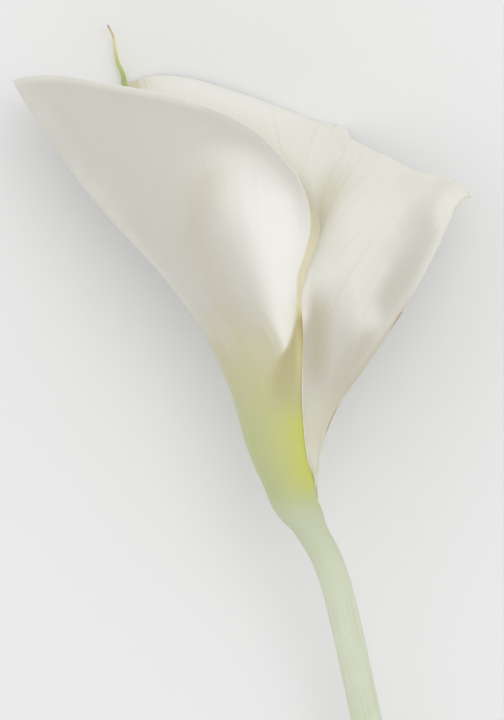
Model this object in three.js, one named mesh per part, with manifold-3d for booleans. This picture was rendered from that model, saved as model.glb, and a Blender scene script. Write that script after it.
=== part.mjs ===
// A calla lily flower as picked, lying on a surface: a cut stem, the white spathe wrapped round
// its throat, and the yellow spadix standing inside.
//
// Millimetres, +Z up, the surface at z = 0 and the origin under the middle of the whole. The
// flower points along +Y and its overlapping front faces +Z. The spathe is one sheet: it starts
// at the outer margin on the right, folds back over itself as a lapel, runs round the back and
// the left, and ends at the inner margin, which is tucked under the lapel.
import * as THREE from 'three';
import { mergeVertices } from 'three/addons/utils/BufferGeometryUtils.js';
import Module from 'manifold-3d';

const wasm = await Module();
wasm.setup();

// ---- Driving dimensions ----
const GAP = 0.3; // between pieces that touch
const FOOT_CENTRE = new THREE.Vector3(13.3, -42.5, 42); // where the stem carries the spathe
const FOOT_LEAN = 16; // degrees that the flower leans left of +Y at its foot
const FOOT_RADIUS = 7.0; // of the spathe's sheet at its left side
const WRAP_RISE = 1.0; // how far the sheet winds outwards in one turn round the foot
const MARGIN_STAND_OFF = 0.35; // of the outer margin, where it begins to turn back
const TUBE_THICKNESS = 1.1; // of the spathe's sheet at the foot
const RIM_THICKNESS = 0.75;
const MARGIN_THICKNESS = 0.65; // along both margins
const NECK = 1.5; // how far the stem and the spadix keep straight on either side of the foot
const STEM_RADIUS = 4.6;
const RECEPTACLE_RADIUS = 7.3; // the swollen top of the stem
const STEM_SIDES = 20;
const SPADIX_RADIUS = 3.6;
const FLORET_HEIGHT = 0.45;

const { degToRad: rad, lerp, smoothstep } = THREE.MathUtils;
const vectors = (points) => points.map((point) => new THREE.Vector3(...point));

// ---- The foot, a slanting ring at the stem's top ----
const axisAtFoot = new THREE.Vector3(-Math.sin(rad(FOOT_LEAN)), Math.cos(rad(FOOT_LEAN)), 0);
const rightAtFoot = new THREE.Vector3(Math.cos(rad(FOOT_LEAN)), Math.sin(rad(FOOT_LEAN)), 0);

/** A point of the wrapped foot; 0 degrees is the right side and 90 the front. The sheet winds
 *  inwards as the angle falls from the outer margin to the inner one. */
function footPoint(degrees, turned) {
  const standOff = MARGIN_STAND_OFF * Math.max(1 - turned / 0.05, 0);
  const radius = FOOT_RADIUS + WRAP_RISE * (0.5 - turned) + standOff;
  return FOOT_CENTRE.clone()
    .addScaledVector(axisAtFoot, GAP)
    .addScaledVector(rightAtFoot, radius * Math.cos(rad(degrees)))
    .addScaledVector(new THREE.Vector3(0, 0, 1), radius * Math.sin(rad(degrees)));
}

// ---- The spathe's ribs, in order round the flower ----
// Each starts on the foot ring at an angle, passes through its points and ends on the rim.
const RIBS = [
  { name: 'outer margin', foot: 18,
    through: [[19.5, -35, 47.3], [20.6, -29, 49.8], [24.6, -16, 52.5], [34.4, -1.5, 51.5],
      [47, 17.5, 47.5], [56.6, 35.5, 39], [61.4, 45.6, 33], [66, 48.8, 29]] },
  { name: 'lapel', foot: 10,
    through: [[19.3, -34.6, 47], [19.7, -28.3, 51.7], [20.6, -13.5, 56], [25.5, 1.5, 59.6],
      [34, 20, 60.2], [46, 39, 48], [55, 49.5, 32], [59.4, 53.9, 23]] },
  { name: 'lapel shoulder', foot: 3,
    through: [[19.1, -34.2, 46.7], [18.7, -27.8, 52.4], [17.1, -11.6, 57.2], [17.9, 4.5, 61],
      [21, 22.5, 66], [36, 42, 56], [47.7, 52.3, 30], [51, 55.7, 20]] },
  { name: 'roll', foot: -5,
    through: [[18.9, -33.8, 46], [17.8, -27.4, 51.6], [15.7, -10.8, 56], [15.6, 6, 59.5],
      [15.8, 24, 64.5], [27.5, 44.5, 58], [40.5, 56, 27], [43, 59.3, 16]] },
  { name: 'under the roll', foot: -15,
    through: [[19.2, -33.3, 44.2], [18.8, -27, 49.4], [17.4, -10, 53], [17.3, 7, 56],
      [18.5, 26, 60], [23, 47, 52], [30.3, 61.5, 19], [31.8, 65.9, 8]] },
  { name: 'right', foot: -42,
    through: [[18.5, -33.1, 38.2], [20.9, -26.2, 44], [21.2, -9, 46], [21.8, 8, 48],
      [24, 27.5, 50], [18.5, 50, 42], [24.3, 65, 9], [26.6, 70, 0.2]] },
  { name: 'right back', foot: -66,
    through: [[15.1, -34, 34.7], [19.4, -25.6, 37], [20, -8.5, 36.5], [20.5, 9, 37],
      [22, 29, 37], [13.5, 54, 28], [10.5, 70.7, 9], [11, 75.6, 1.2]] },
  { name: 'back, right of the midrib', foot: -90,
    through: [[11.3, -35, 33.7], [14, -25, 32.3], [13.6, -8, 30.5], [13, 10, 28.5],
      [11, 31, 24], [3, 58, 14.5], [-6, 76.7, 8.5], [-7, 82, 2]] },
  { name: 'back', foot: -112,
    through: [[8.3, -35.8, 34.4], [8.5, -26.4, 31.6], [5.9, -9.5, 29.2], [2.5, 10, 26.5],
      [-2, 31, 20.5], [-11, 59, 11.5], [-23, 80.2, 6.5], [-25.2, 86.1, 1.5]] },
  { name: 'midrib', foot: -135,
    through: [[5.6, -36.5, 36.3], [3.9, -27.3, 33.5], [0.2, -11, 31.7], [-6, 9.5, 29],
      [-14, 29, 23], [-26, 57, 12], [-35.5, 76, 2.6], [-38.5, 82.4, 1.2]] },
  { name: 'left back', foot: -158,
    through: [[4.2, -37, 39.2], [0.7, -28.2, 37], [-3.9, -11, 36.5], [-12, 9, 35.5],
      [-22.5, 27, 31], [-41, 53, 24], [-54, 77, 17], [-57.5, 83, 13]] },
  { name: 'left', foot: -180,
    through: [[3.7, -37.3, 42.2], [-1, -26.5, 42.5], [-6, -9.3, 43], [-14.3, 8.3, 44],
      [-26.5, 25.3, 44], [-48, 48.5, 43], [-68, 77, 40.5], [-72.2, 84, 38]] },
  { name: 'left front', foot: -215,
    through: [[5.2, -36.7, 46.8], [1.3, -27.5, 48.6], [-3.3, -10, 50.7], [-10.5, 8.3, 52.5],
      [-22, 25, 56], [-38, 51, 60], [-56, 79.5, 59], [-61, 86.4, 57]] },
  { name: 'front', foot: -248,
    through: [[8.4, -35.8, 49.5], [6.5, -27.8, 52.1], [3.4, -10.3, 55.2], [-3, 8, 58.5],
      [-14, 24.5, 65], [-25, 50.5, 71.5], [-34, 75.5, 74], [-38, 82.9, 77]] },
  { name: 'front, towards the lapel', foot: -280,
    through: [[12.6, -34.7, 49.6], [12.3, -27.6, 51.8], [10.4, -10, 55], [6, 7.5, 59.8],
      [-5, 24, 69], [-12, 48, 76.5], [-16, 70, 79], [-17.7, 77, 83]] },
  { name: 'tucked front', foot: -315,
    through: [[17.5, -33.7, 46.8], [17, -26.8, 50.2], [15, -9.6, 54.5], [13.9, 7.5, 57.9],
      [5, 24, 68], [2.5, 43.5, 76], [1.5, 60.5, 79.5], [1.5, 67.8, 83.5]] },
  { name: 'inner margin', foot: -348,
    through: [[18.1, -33.2, 43.2], [18.4, -26.3, 44.9], [18.1, -9, 47.3], [16.2, 8, 54.3],
      [13.2, 23, 65], [17.2, 38, 74], [16.6, 47.5, 77.5], [13.2, 55.5, 81]] },
];
const ACROSS_PER_RIB = 4; // steps of the sheet's mesh from rib to rib
const ALONG_PER_POINT = 4; // steps of the mesh from point to point of a rib

/** A geometry of shared corners and the triangles between them. */
function geometryOf(corners, triangles) {
  const geometry = new THREE.BufferGeometry();
  const numbers = corners.flatMap((corner) => [corner.x, corner.y, corner.z]);
  geometry.setAttribute('position', new THREE.Float32BufferAttribute(numbers, 3));
  geometry.setIndex(triangles.flat());
  return geometry;
}

/** A Catmull-Rom curve that doesn't overshoot where its points lie unevenly. */
function smooth(points) {
  return new THREE.CatmullRomCurve3(points, false, 'centripetal');
}

/** The middle of the spathe's sheet: rows from the foot to the rim, each from margin to margin. */
function sheetRows() {
  const turns = RIBS.map((rib) => (RIBS[0].foot - rib.foot) / 360);
  const curves = RIBS.map((rib, i) => smooth([
    footPoint(rib.foot, turns[i]),
    ...vectors(rib.through),
  ]));
  const rows = RIBS[0].through.length * ALONG_PER_POINT;
  const columns = (RIBS.length - 1) * ACROSS_PER_RIB;
  return Array.from({ length: rows + 1 }, (_, j) => {
    const across = smooth(curves.map((curve) => curve.getPoint(j / rows)));
    return Array.from({ length: columns + 1 }, (_, i) => across.getPoint(i / columns));
  });
}

/** Unit normals of a grid of points, towards the outside of the flower. */
function gridNormals(rows) {
  const last = rows.length - 1;
  return rows.map((row, j) => row.map((_, i) => {
    const before = row[Math.max(i - 1, 0)];
    const after = row[Math.min(i + 1, row.length - 1)];
    const below = rows[Math.max(j - 1, 0)][i];
    const above = rows[Math.min(j + 1, last)][i];
    const across = after.clone().sub(before);
    const along = above.clone().sub(below);
    return across.cross(along).normalize();
  }));
}

/** A closed blade of two like faces, half its thickness to each side of the grid. */
function bladeGeometry(rows, thicknessAt) {
  const normals = gridNormals(rows);
  const columns = rows[0].length;
  const corners = [];
  for (const side of [1, -1]) {
    rows.forEach((row, j) => row.forEach((point, i) => {
      const half = thicknessAt(i / (columns - 1), j / (rows.length - 1)) / 2;
      const corner = point.clone().addScaledVector(normals[j][i], side * half);
      // Where it lies on the surface it is pressed flat.
      corner.z = Math.max(corner.z, side === 1 ? 0 : RIM_THICKNESS);
      corners.push(corner);
    }));
  }
  const inner = rows.length * columns;
  const triangles = [];
  const quad = (a, b, c, d) => triangles.push([a, b, c], [a, c, d]);
  for (let j = 0; j < rows.length - 1; j += 1) {
    for (let i = 0; i < columns - 1; i += 1) {
      const a = j * columns + i;
      const b = a + 1;
      const c = b + columns;
      const d = a + columns;
      quad(a, b, c, d);
      quad(inner + a, inner + d, inner + c, inner + b);
    }
  }
  // The edge goes round the grid and joins the two faces.
  const top = (rows.length - 1) * columns;
  const ring = [];
  for (let i = 0; i < columns - 1; i += 1) ring.push(i);
  for (let j = 0; j < rows.length - 1; j += 1) ring.push(j * columns + columns - 1);
  for (let i = columns - 1; i > 0; i -= 1) ring.push(top + i);
  for (let j = rows.length - 1; j > 0; j -= 1) ring.push(j * columns);
  ring.forEach((here, k) => {
    const next = ring[(k + 1) % ring.length];
    quad(next, here, inner + here, inner + next);
  });
  return geometryOf(corners, triangles);
}

/** A closed round body along a curve. radiusAt takes the share of the way, the side's number and
 *  the step's, and flatten scales the height of each section. */
function loftGeometry(curve, steps, sides, radiusAt, flatten = 1) {
  const corners = [];
  for (let j = 0; j <= steps; j += 1) {
    const way = curve.getTangentAt(j / steps);
    const centre = curve.getPointAt(j / steps);
    const sideways = new THREE.Vector3(0, 0, 1).cross(way).negate().normalize();
    const upwards = sideways.clone().cross(way).normalize();
    for (let i = 0; i < sides; i += 1) {
      const angle = (2 * Math.PI * i) / sides;
      const radius = radiusAt(j / steps, i, j);
      corners.push(centre.clone()
        .addScaledVector(sideways, radius * Math.cos(angle))
        .addScaledVector(upwards, radius * flatten * Math.sin(angle)));
    }
  }
  const first = corners.push(curve.getPointAt(0)) - 1;
  const last = corners.push(curve.getPointAt(1)) - 1;
  const triangles = [];
  for (let i = 0; i < sides; i += 1) {
    const next = (i + 1) % sides;
    triangles.push([first, i, next]);
    triangles.push([last, steps * sides + next, steps * sides + i]);
    for (let j = 0; j < steps; j += 1) {
      const here = j * sides;
      const above = here + sides;
      triangles.push([here + i, above + next, here + next], [here + i, above + i, above + next]);
    }
  }
  return geometryOf(corners, triangles);
}

/** The same geometry, pressed flat where it lies on the surface. */
function pressed(geometry) {
  const corners = geometry.attributes.position;
  for (let k = 0; k < corners.count; k += 1) corners.setZ(k, Math.max(corners.getZ(k), 0));
  return geometry;
}

/** A manifold-3d solid of a closed geometry. */
function solidOf(geometry) {
  const bare = geometry.clone();
  bare.deleteAttribute('normal');
  bare.deleteAttribute('uv');
  const merged = mergeVertices(bare, 1e-4);
  return new wasm.Manifold(new wasm.Mesh({
    numProp: 3,
    vertProperties: new Float32Array(merged.attributes.position.array),
    triVerts: new Uint32Array(merged.index.array),
  }));
}

/** A three.js geometry of a manifold-3d solid. */
function geometryFrom(solid) {
  const mesh = solid.getMesh();
  const geometry = new THREE.BufferGeometry();
  geometry.setAttribute('position', new THREE.BufferAttribute(mesh.vertProperties, 3));
  geometry.setIndex(new THREE.BufferAttribute(mesh.triVerts, 1));
  return geometry;
}

// ---- Spathe: the wrapped sheet and the pointed tail of its midrib ----
const THIN_EDGE = [0.1, 0.35]; // shares of the sheet's width where it begins and ends to thicken
const TAIL = [[-31.5, 68, 5.2], [-34.6, 74.5, 1.3], [-36.6, 79, 0.7], [-38.4, 83, 1.3],
  [-38.9, 86.4, 2], [-40.3, 89.6, 2.6], [-41.1, 93.5, 3.4], [-41.7, 97.5, 3.8], [-43.4, 100.7, 4]];
const TAIL_ROOT = 2.4; // half-width where it springs from the midrib, inside the rim
const TAIL_NECK = 1.0; // half-width outside the rim
const TAIL_TIP = 0.35;
const TAIL_NARROWING = [0.3, 0.47]; // shares of its length between root and neck
const TAIL_START = [0.14, 0.1]; // share of its length where its root is full, and its half-width
                                // at the start as a share of that
const TAIL_FLATNESS = 0.7;
const TAIL_STEPS = 22;
const TAIL_SIDES = 10;

function sheetThickness(across, along) {
  const body = lerp(TUBE_THICKNESS, RIM_THICKNESS, along);
  const fromMargin = Math.min(across, 1 - across);
  return lerp(MARGIN_THICKNESS, body, smoothstep(fromMargin, ...THIN_EDGE));
}

function tailRadius(t) {
  const narrowed = smoothstep(t, ...TAIL_NARROWING);
  const grown = lerp(TAIL_START[1], 1, smoothstep(t, 0, TAIL_START[0]));
  return (lerp(TAIL_NECK, TAIL_TIP, t) + (TAIL_ROOT - TAIL_NECK) * (1 - narrowed)) * grown;
}

function spatheGeometry() {
  const sheet = bladeGeometry(sheetRows(), sheetThickness);
  const tailCurve = smooth(vectors(TAIL));
  const tail = loftGeometry(tailCurve, TAIL_STEPS, TAIL_SIDES, tailRadius, TAIL_FLATNESS);
  return geometryFrom(solidOf(sheet).add(solidOf(pressed(tail))));
}

// ---- Spadix: a tapering spike with a round end, its florets raised in staggered rings ----
const SPADIX_AXIS = [[10.1, -26, 42.5], [7.8, -9, 43], [4.6, 8, 44.5], [1.4, 22, 47],
  [-0.8, 32, 49]];
const SPADIX_STEPS = 56;
const SPADIX_SIDES = 20;
const SPADIX_TAPER = 0.18; // of its radius, from the foot to the tip
const SPADIX_ROUNDING = 0.1; // share of its length that closes to the tip
const SPADIX_TIP = 0.2; // share of its radius left at the tip
const FLORETS = [0.03, 0.97]; // shares of its length between which the florets stand

function spadixRadius(t, side, step) {
  const closing = Math.max(t - (1 - SPADIX_ROUNDING), 0) / SPADIX_ROUNDING;
  const rounded = Math.max(Math.sqrt(1 - Math.min(closing, 1) ** 2), SPADIX_TIP);
  const hasFloret = (side + step) % 2 === 0 && t > FLORETS[0] && t < FLORETS[1];
  return SPADIX_RADIUS * (1 - SPADIX_TAPER * t) * rounded + (hasFloret ? FLORET_HEIGHT : 0);
}

function spadixGeometry() {
  const start = FOOT_CENTRE.clone().addScaledVector(axisAtFoot, GAP);
  const upright = FOOT_CENTRE.clone().addScaledVector(axisAtFoot, NECK);
  const curve = smooth([start, upright, ...vectors(SPADIX_AXIS)]);
  return loftGeometry(curve, SPADIX_STEPS, SPADIX_SIDES, spadixRadius);
}

// ---- Stem: from the receptacle down to the plain cut end ----
const STEM_AXIS = [[16.1, -47.9, 41.4], [18.9, -53.1, 40.5], [22, -58.7, 39.3], [24.8, -66, 37.6],
  [27.9, -78, 34.6], [31, -92, 31], [34, -106, 27.2], [38, -125, 21.8], [42.6, -150, 14.4],
  [48, -185, 3.9]];
const STEM_STEPS = 48;
const STEM_SWELLING = 10.5; // length of the stem's top that widens to the receptacle
const SWELLING_CURVE = 1.35; // 1 widens it straight, more later

function stemGeometry() {
  const underFoot = FOOT_CENTRE.clone().addScaledVector(axisAtFoot, -NECK);
  const curve = smooth([FOOT_CENTRE, underFoot, ...vectors(STEM_AXIS)]);
  const length = curve.getLength();
  const stemRadius = (t) => {
    const rise = Math.max(1 - (t * length) / STEM_SWELLING, 0);
    return lerp(STEM_RADIUS, RECEPTACLE_RADIUS, rise ** SWELLING_CURVE);
  };
  return pressed(loftGeometry(curve, STEM_STEPS, STEM_SIDES, stemRadius));
}

// ---- The flower ----
function piece(name, geometry, colour, roughness) {
  const material = new THREE.MeshStandardMaterial({ color: colour, roughness, metalness: 0 });
  const mesh = new THREE.Mesh(geometry, material);
  mesh.name = name;
  return mesh;
}

const pieces = new THREE.Group();
pieces.add(
  piece('stem', stemGeometry(), 0x8f9c62, 0.6),
  piece('spathe', spatheGeometry(), 0xf0ede2, 0.55),
  piece('spadix', spadixGeometry(), 0xe6c23c, 0.8),
);

const middle = new THREE.Box3().setFromObject(pieces).getCenter(new THREE.Vector3());
pieces.position.set(-middle.x, -middle.y, 0);

const flower = new THREE.Group();
flower.add(pieces);

export default flower;
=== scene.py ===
"""Looks for a calla lily flower as picked, lying on a pale floor and seen from straight above.

The spathe, its tail, the spadix and the stem are built here as smooth, finely divided meshes on
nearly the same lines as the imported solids, and each has its own procedural finish. x runs to the
right, y up the flower and z up from the floor. Lengths are millimetres until a mesh is made; those
of the finishes and of the studio are metres.
"""

from __future__ import annotations

import logging
import math
from collections.abc import Callable, Sequence
from dataclasses import dataclass, replace
from enum import Enum

import bpy
import numpy as np
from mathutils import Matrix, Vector


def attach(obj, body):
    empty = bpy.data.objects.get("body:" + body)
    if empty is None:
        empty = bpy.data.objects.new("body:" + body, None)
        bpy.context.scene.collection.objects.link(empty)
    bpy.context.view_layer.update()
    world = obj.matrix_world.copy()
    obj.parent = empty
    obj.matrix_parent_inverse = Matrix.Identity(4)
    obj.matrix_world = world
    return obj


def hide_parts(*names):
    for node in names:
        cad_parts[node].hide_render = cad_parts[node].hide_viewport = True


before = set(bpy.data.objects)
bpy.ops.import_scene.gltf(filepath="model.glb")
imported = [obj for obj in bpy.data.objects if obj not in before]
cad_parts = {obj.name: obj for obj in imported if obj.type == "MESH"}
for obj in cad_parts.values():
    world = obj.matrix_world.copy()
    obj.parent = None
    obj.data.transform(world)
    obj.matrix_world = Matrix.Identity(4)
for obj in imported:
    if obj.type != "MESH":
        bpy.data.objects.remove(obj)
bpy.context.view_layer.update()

Point = tuple[float, float, float]
Colour = tuple[float, float, float]
Span = tuple[float, float]  # where a change starts and ends, or the values at its two ends
Profile = tuple[tuple[float, float], ...]  # places, each with the value there
Values = np.ndarray | float
Socket = bpy.types.NodeSocket

MM = 0.001
ORIGIN = np.array([3.2528, 42.7967, 0.0])  # where the lines' own origin lies in the frame
UP = np.array([0.0, 0.0, 1.0])
ROOT = "root"  # the one body of a part without joints
TINY = 1e-12  # keeps a length of 0 from dividing
FINE_STEPS = 40  # for each point of a line, before it is divided evenly
LOG = logging.getLogger("calla")


class Face(Enum):
    """The two faces of the spathe's sheet, with the side of its middle that each lies on."""

    OUTER = 1.0
    INNER = -1.0


class Slot(Enum):
    """The record's material slots."""

    SPATHE = "spathe"
    STEM = "stem"
    SPADIX = "spadix"


class Tint(Enum):
    """The tints of the petal, whose shares its mesh holds, from the lowest coat to the highest;
    several are painted light and shade.
    """

    # The white share also carries painted highlights and painted shade over the ivory.
    WHITE = "white"
    # Painted light: the belly's glow and the highlights of rims and edges.
    BRIGHT = "bright"
    # Painted shade.
    SHADE = "shade"
    OLIVE = "olive"
    GREEN = "green"
    LIME = "lime"
    # Cream, and painted shade in the throat.
    CREAM = "cream"
    # Honey, darkened by painted shade in the fold beside the seam.
    HONEY = "honey"
    # Gold, brightened and glowing as painted light.
    GOLD = "gold"
    # A painted glow.
    GLOW = "glow"
    SAGE = "sage"
    TAN = "tan"
    DRY = "dry"


Shares = dict[Tint, np.ndarray]  # the share of each tint at the sheet's points


# ---- Curves and meshes ----


def smoothstep(value: Values, low: Values, high: Values) -> np.ndarray:
    """A smooth climb from 0 at low to 1 at high, or a fall where high is the lower of the two."""
    share = np.clip((np.asarray(value, float) - low) / (high - low), 0.0, 1.0)
    return share * share * (3.0 - 2.0 * share)


def lerp(start: Values, end: Values, share: Values) -> Values:
    """The value that lies at a share of the way from start to end."""
    return start + (end - start) * share


def bell(value: np.ndarray, middle: Values, reach: Values) -> np.ndarray:
    """A round bump, 1 at its middle, that has nearly run out at twice its reach."""
    return np.exp(-(((value - middle) / reach) ** 2))


def profile(place: np.ndarray, stations: Profile) -> np.ndarray:
    """The value at each place, on straight lines from station to station."""
    places, values = zip(*stations)
    return np.interp(place, places, values)


def centripetal(points: np.ndarray, shares: np.ndarray) -> np.ndarray:
    """Centripetal Catmull-Rom curves through points, as the solids' curves run.

    Args:
        points: Points by curve: point number, curve, then x, y, z.
        shares: Shares of the point numbers at which to read the curves.

    Returns:
        The points read: share, curve, then x, y, z.
    """
    before, after = 2 * points[0] - points[1], 2 * points[-1] - points[-2]
    padded = np.concatenate([[before], points, [after]])
    place = shares * (len(points) - 1)
    first = np.minimum(place.astype(int), len(points) - 2)
    t = (place - first)[:, None, None]
    p0, p1, p2, p3 = (padded[first + k] for k in range(4))

    def spacing(start: np.ndarray, end: np.ndarray) -> np.ndarray:
        """The square roots of the distances between points."""
        return np.sqrt(np.linalg.norm(end - start, axis=-1, keepdims=True))

    d0, d1, d2 = spacing(p0, p1), spacing(p1, p2), spacing(p2, p3)
    leaving = ((p1 - p0) / d0 - (p2 - p0) / (d0 + d1) + (p2 - p1) / d1) * d1
    arriving = ((p2 - p1) / d1 - (p3 - p1) / (d1 + d2) + (p3 - p2) / d2) * d1
    bend = -3 * p1 + 3 * p2 - 2 * leaving - arriving
    turn = 2 * p1 - 2 * p2 + leaving + arriving
    return p1 + t * (leaving + t * (bend + t * turn))


def curve_through(points: Sequence[Point], count: int) -> np.ndarray:
    """An evenly divided smooth curve through a few points.

    Args:
        points: The points, in order.
        count: How many points to return.

    Returns:
        Points at even lengths along the curve.
    """
    shares = np.linspace(0.0, 1.0, FINE_STEPS * len(points))
    fine = centripetal(np.array(points, float)[:, None, :], shares)[:, 0, :]
    lengths = np.concatenate([[0.0], np.cumsum(np.linalg.norm(np.diff(fine, axis=0), axis=1))])
    wanted = np.linspace(0.0, lengths[-1], count)
    return np.stack([np.interp(wanted, lengths, fine[:, k]) for k in range(3)], axis=1)


def subdivided(grid: np.ndarray, axis: int) -> np.ndarray:
    """One step of cubic subdivision, which rounds a grid and leaves its ends in place.

    Args:
        grid: Values by row and column.
        axis: 0 to divide between rows, 1 between columns.

    Returns:
        The grid with a line added between each two.
    """
    coarse = np.moveaxis(grid, axis, 0)
    fine = np.empty((2 * len(coarse) - 1, *coarse.shape[1:]))
    fine[1::2] = (coarse[1:] + coarse[:-1]) / 2
    fine[2:-1:2] = (coarse[:-2] + 6 * coarse[1:-1] + coarse[2:]) / 8
    fine[0], fine[-1] = coarse[0], coarse[-1]
    return np.moveaxis(fine, 0, axis)


def unit(vectors: np.ndarray) -> np.ndarray:
    """The vectors, each of length 1."""
    return vectors / np.maximum(np.linalg.norm(vectors, axis=-1, keepdims=True), TINY)


@dataclass
class MeshParts:
    """A mesh that is being put together."""

    corners: np.ndarray
    faces: list[tuple[int, ...]]
    values: dict[str, np.ndarray]  # values at the corners, by name
    slots: list[int]  # the material slot of each face

    def joined(self, other: MeshParts) -> MeshParts:
        """Both meshes as one.

        Args:
            other: The mesh to add.

        Returns:
            The new mesh; a value that one of the two lacks is 0 there.
        """
        here, there = len(self.corners), len(other.corners)
        values = {}
        for name in sorted(set(self.values) | set(other.values)):
            ours = self.values.get(name, np.zeros(here))
            theirs = other.values.get(name, np.zeros(there))
            values[name] = np.concatenate([ours, theirs])
        moved = [tuple(corner + here for corner in face) for face in other.faces]
        corners = np.concatenate([self.corners, other.corners])
        return MeshParts(corners, self.faces + moved, values, self.slots + other.slots)

    def build(self, name: str, materials: Sequence[bpy.types.Material]) -> bpy.types.Object:
        """A smooth-shaded Blender object in metres.

        Args:
            name: The piece's name.
            materials: The materials that the faces' slots count through.

        Returns:
            The object, linked into the scene.
        """
        mesh = bpy.data.meshes.new(name)
        mesh.from_pydata(((self.corners + ORIGIN) * MM).tolist(), [], self.faces)
        for material in materials:
            mesh.materials.append(material)
        mesh.polygons.foreach_set("material_index", self.slots)
        mesh.polygons.foreach_set("use_smooth", [True] * len(self.faces))
        for key, values in self.values.items():
            layer = mesh.attributes.new(key, "FLOAT", "POINT")
            layer.data.foreach_set("value", values.astype(np.float32))
        mesh.update()
        built = bpy.data.objects.new(name, mesh)
        bpy.context.scene.collection.objects.link(built)
        return built


def circle(sides: int) -> np.ndarray:
    """Even angles once round, one for each side."""
    return np.linspace(0.0, 2 * math.pi, sides, endpoint=False)


def frames_along(line: np.ndarray) -> tuple[np.ndarray, np.ndarray]:
    """Directions to the side and up at each point of a line, square to it.

    Args:
        line: Points of the line.

    Returns:
        The unit vectors to the line's right, and those above it.
    """
    way = unit(np.gradient(line, axis=0))
    right = unit(np.cross(way, UP))
    return right, np.cross(right, way)


def rod(line: np.ndarray, radii: np.ndarray, flatten: float = 1.0) -> np.ndarray:
    """The skin of a round body along a line.

    Args:
        line: Points of its middle line.
        radii: Radius by step and side.
        flatten: Height of a section as a share of its width.

    Returns:
        Points by step and side.
    """
    right, up = frames_along(line)
    angles = circle(radii.shape[1])
    sideways = radii[..., None] * np.cos(angles)[None, :, None] * right[:, None, :]
    upwards = radii[..., None] * flatten * np.sin(angles)[None, :, None] * up[:, None, :]
    return line[:, None, :] + sideways + upwards


def rod_shares(share: np.ndarray, sides: int) -> dict[str, np.ndarray]:
    """What a rod's finish reads: along, and around, which runs half round and back.

    Args:
        share: Share of the rod's length at each step.
        sides: How many sides it has.

    Returns:
        Both values, by step and side.
    """
    shape = len(share), sides
    around = np.abs(circle(sides) / math.pi - 1)
    return {
        "along": np.broadcast_to(share[:, None], shape),
        "around": np.broadcast_to(around[None, :], shape),
    }


def rod_mesh(skin: np.ndarray, values: dict[str, np.ndarray], slot: int = 0) -> MeshParts:
    """A closed mesh of a rod's skin, with a point in the middle of each end.

    Args:
        skin: Points by step and side.
        values: Values by step and side.
        slot: The material slot of its faces.

    Returns:
        The mesh.
    """
    steps, sides = skin.shape[:2]
    ends = np.array([skin[0].mean(axis=0), skin[-1].mean(axis=0)])
    corners = np.concatenate([skin.reshape(-1, 3), ends])
    first, last = len(corners) - 2, len(corners) - 1
    top = (steps - 1) * sides
    faces: list[tuple[int, ...]] = []
    for side in range(sides):
        after = (side + 1) % sides
        faces.append((first, side, after))
        faces.append((last, top + after, top + side))
        for step in range(steps - 1):
            here, above = step * sides, (step + 1) * sides
            faces.append((here + side, above + side, above + after, here + after))
    listed = {
        name: np.concatenate([value.ravel(), [value[0].mean(), value[-1].mean()]])
        for name, value in values.items()
    }
    return MeshParts(corners, faces, listed, [slot] * len(faces))


# ---- Materials ----


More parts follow.
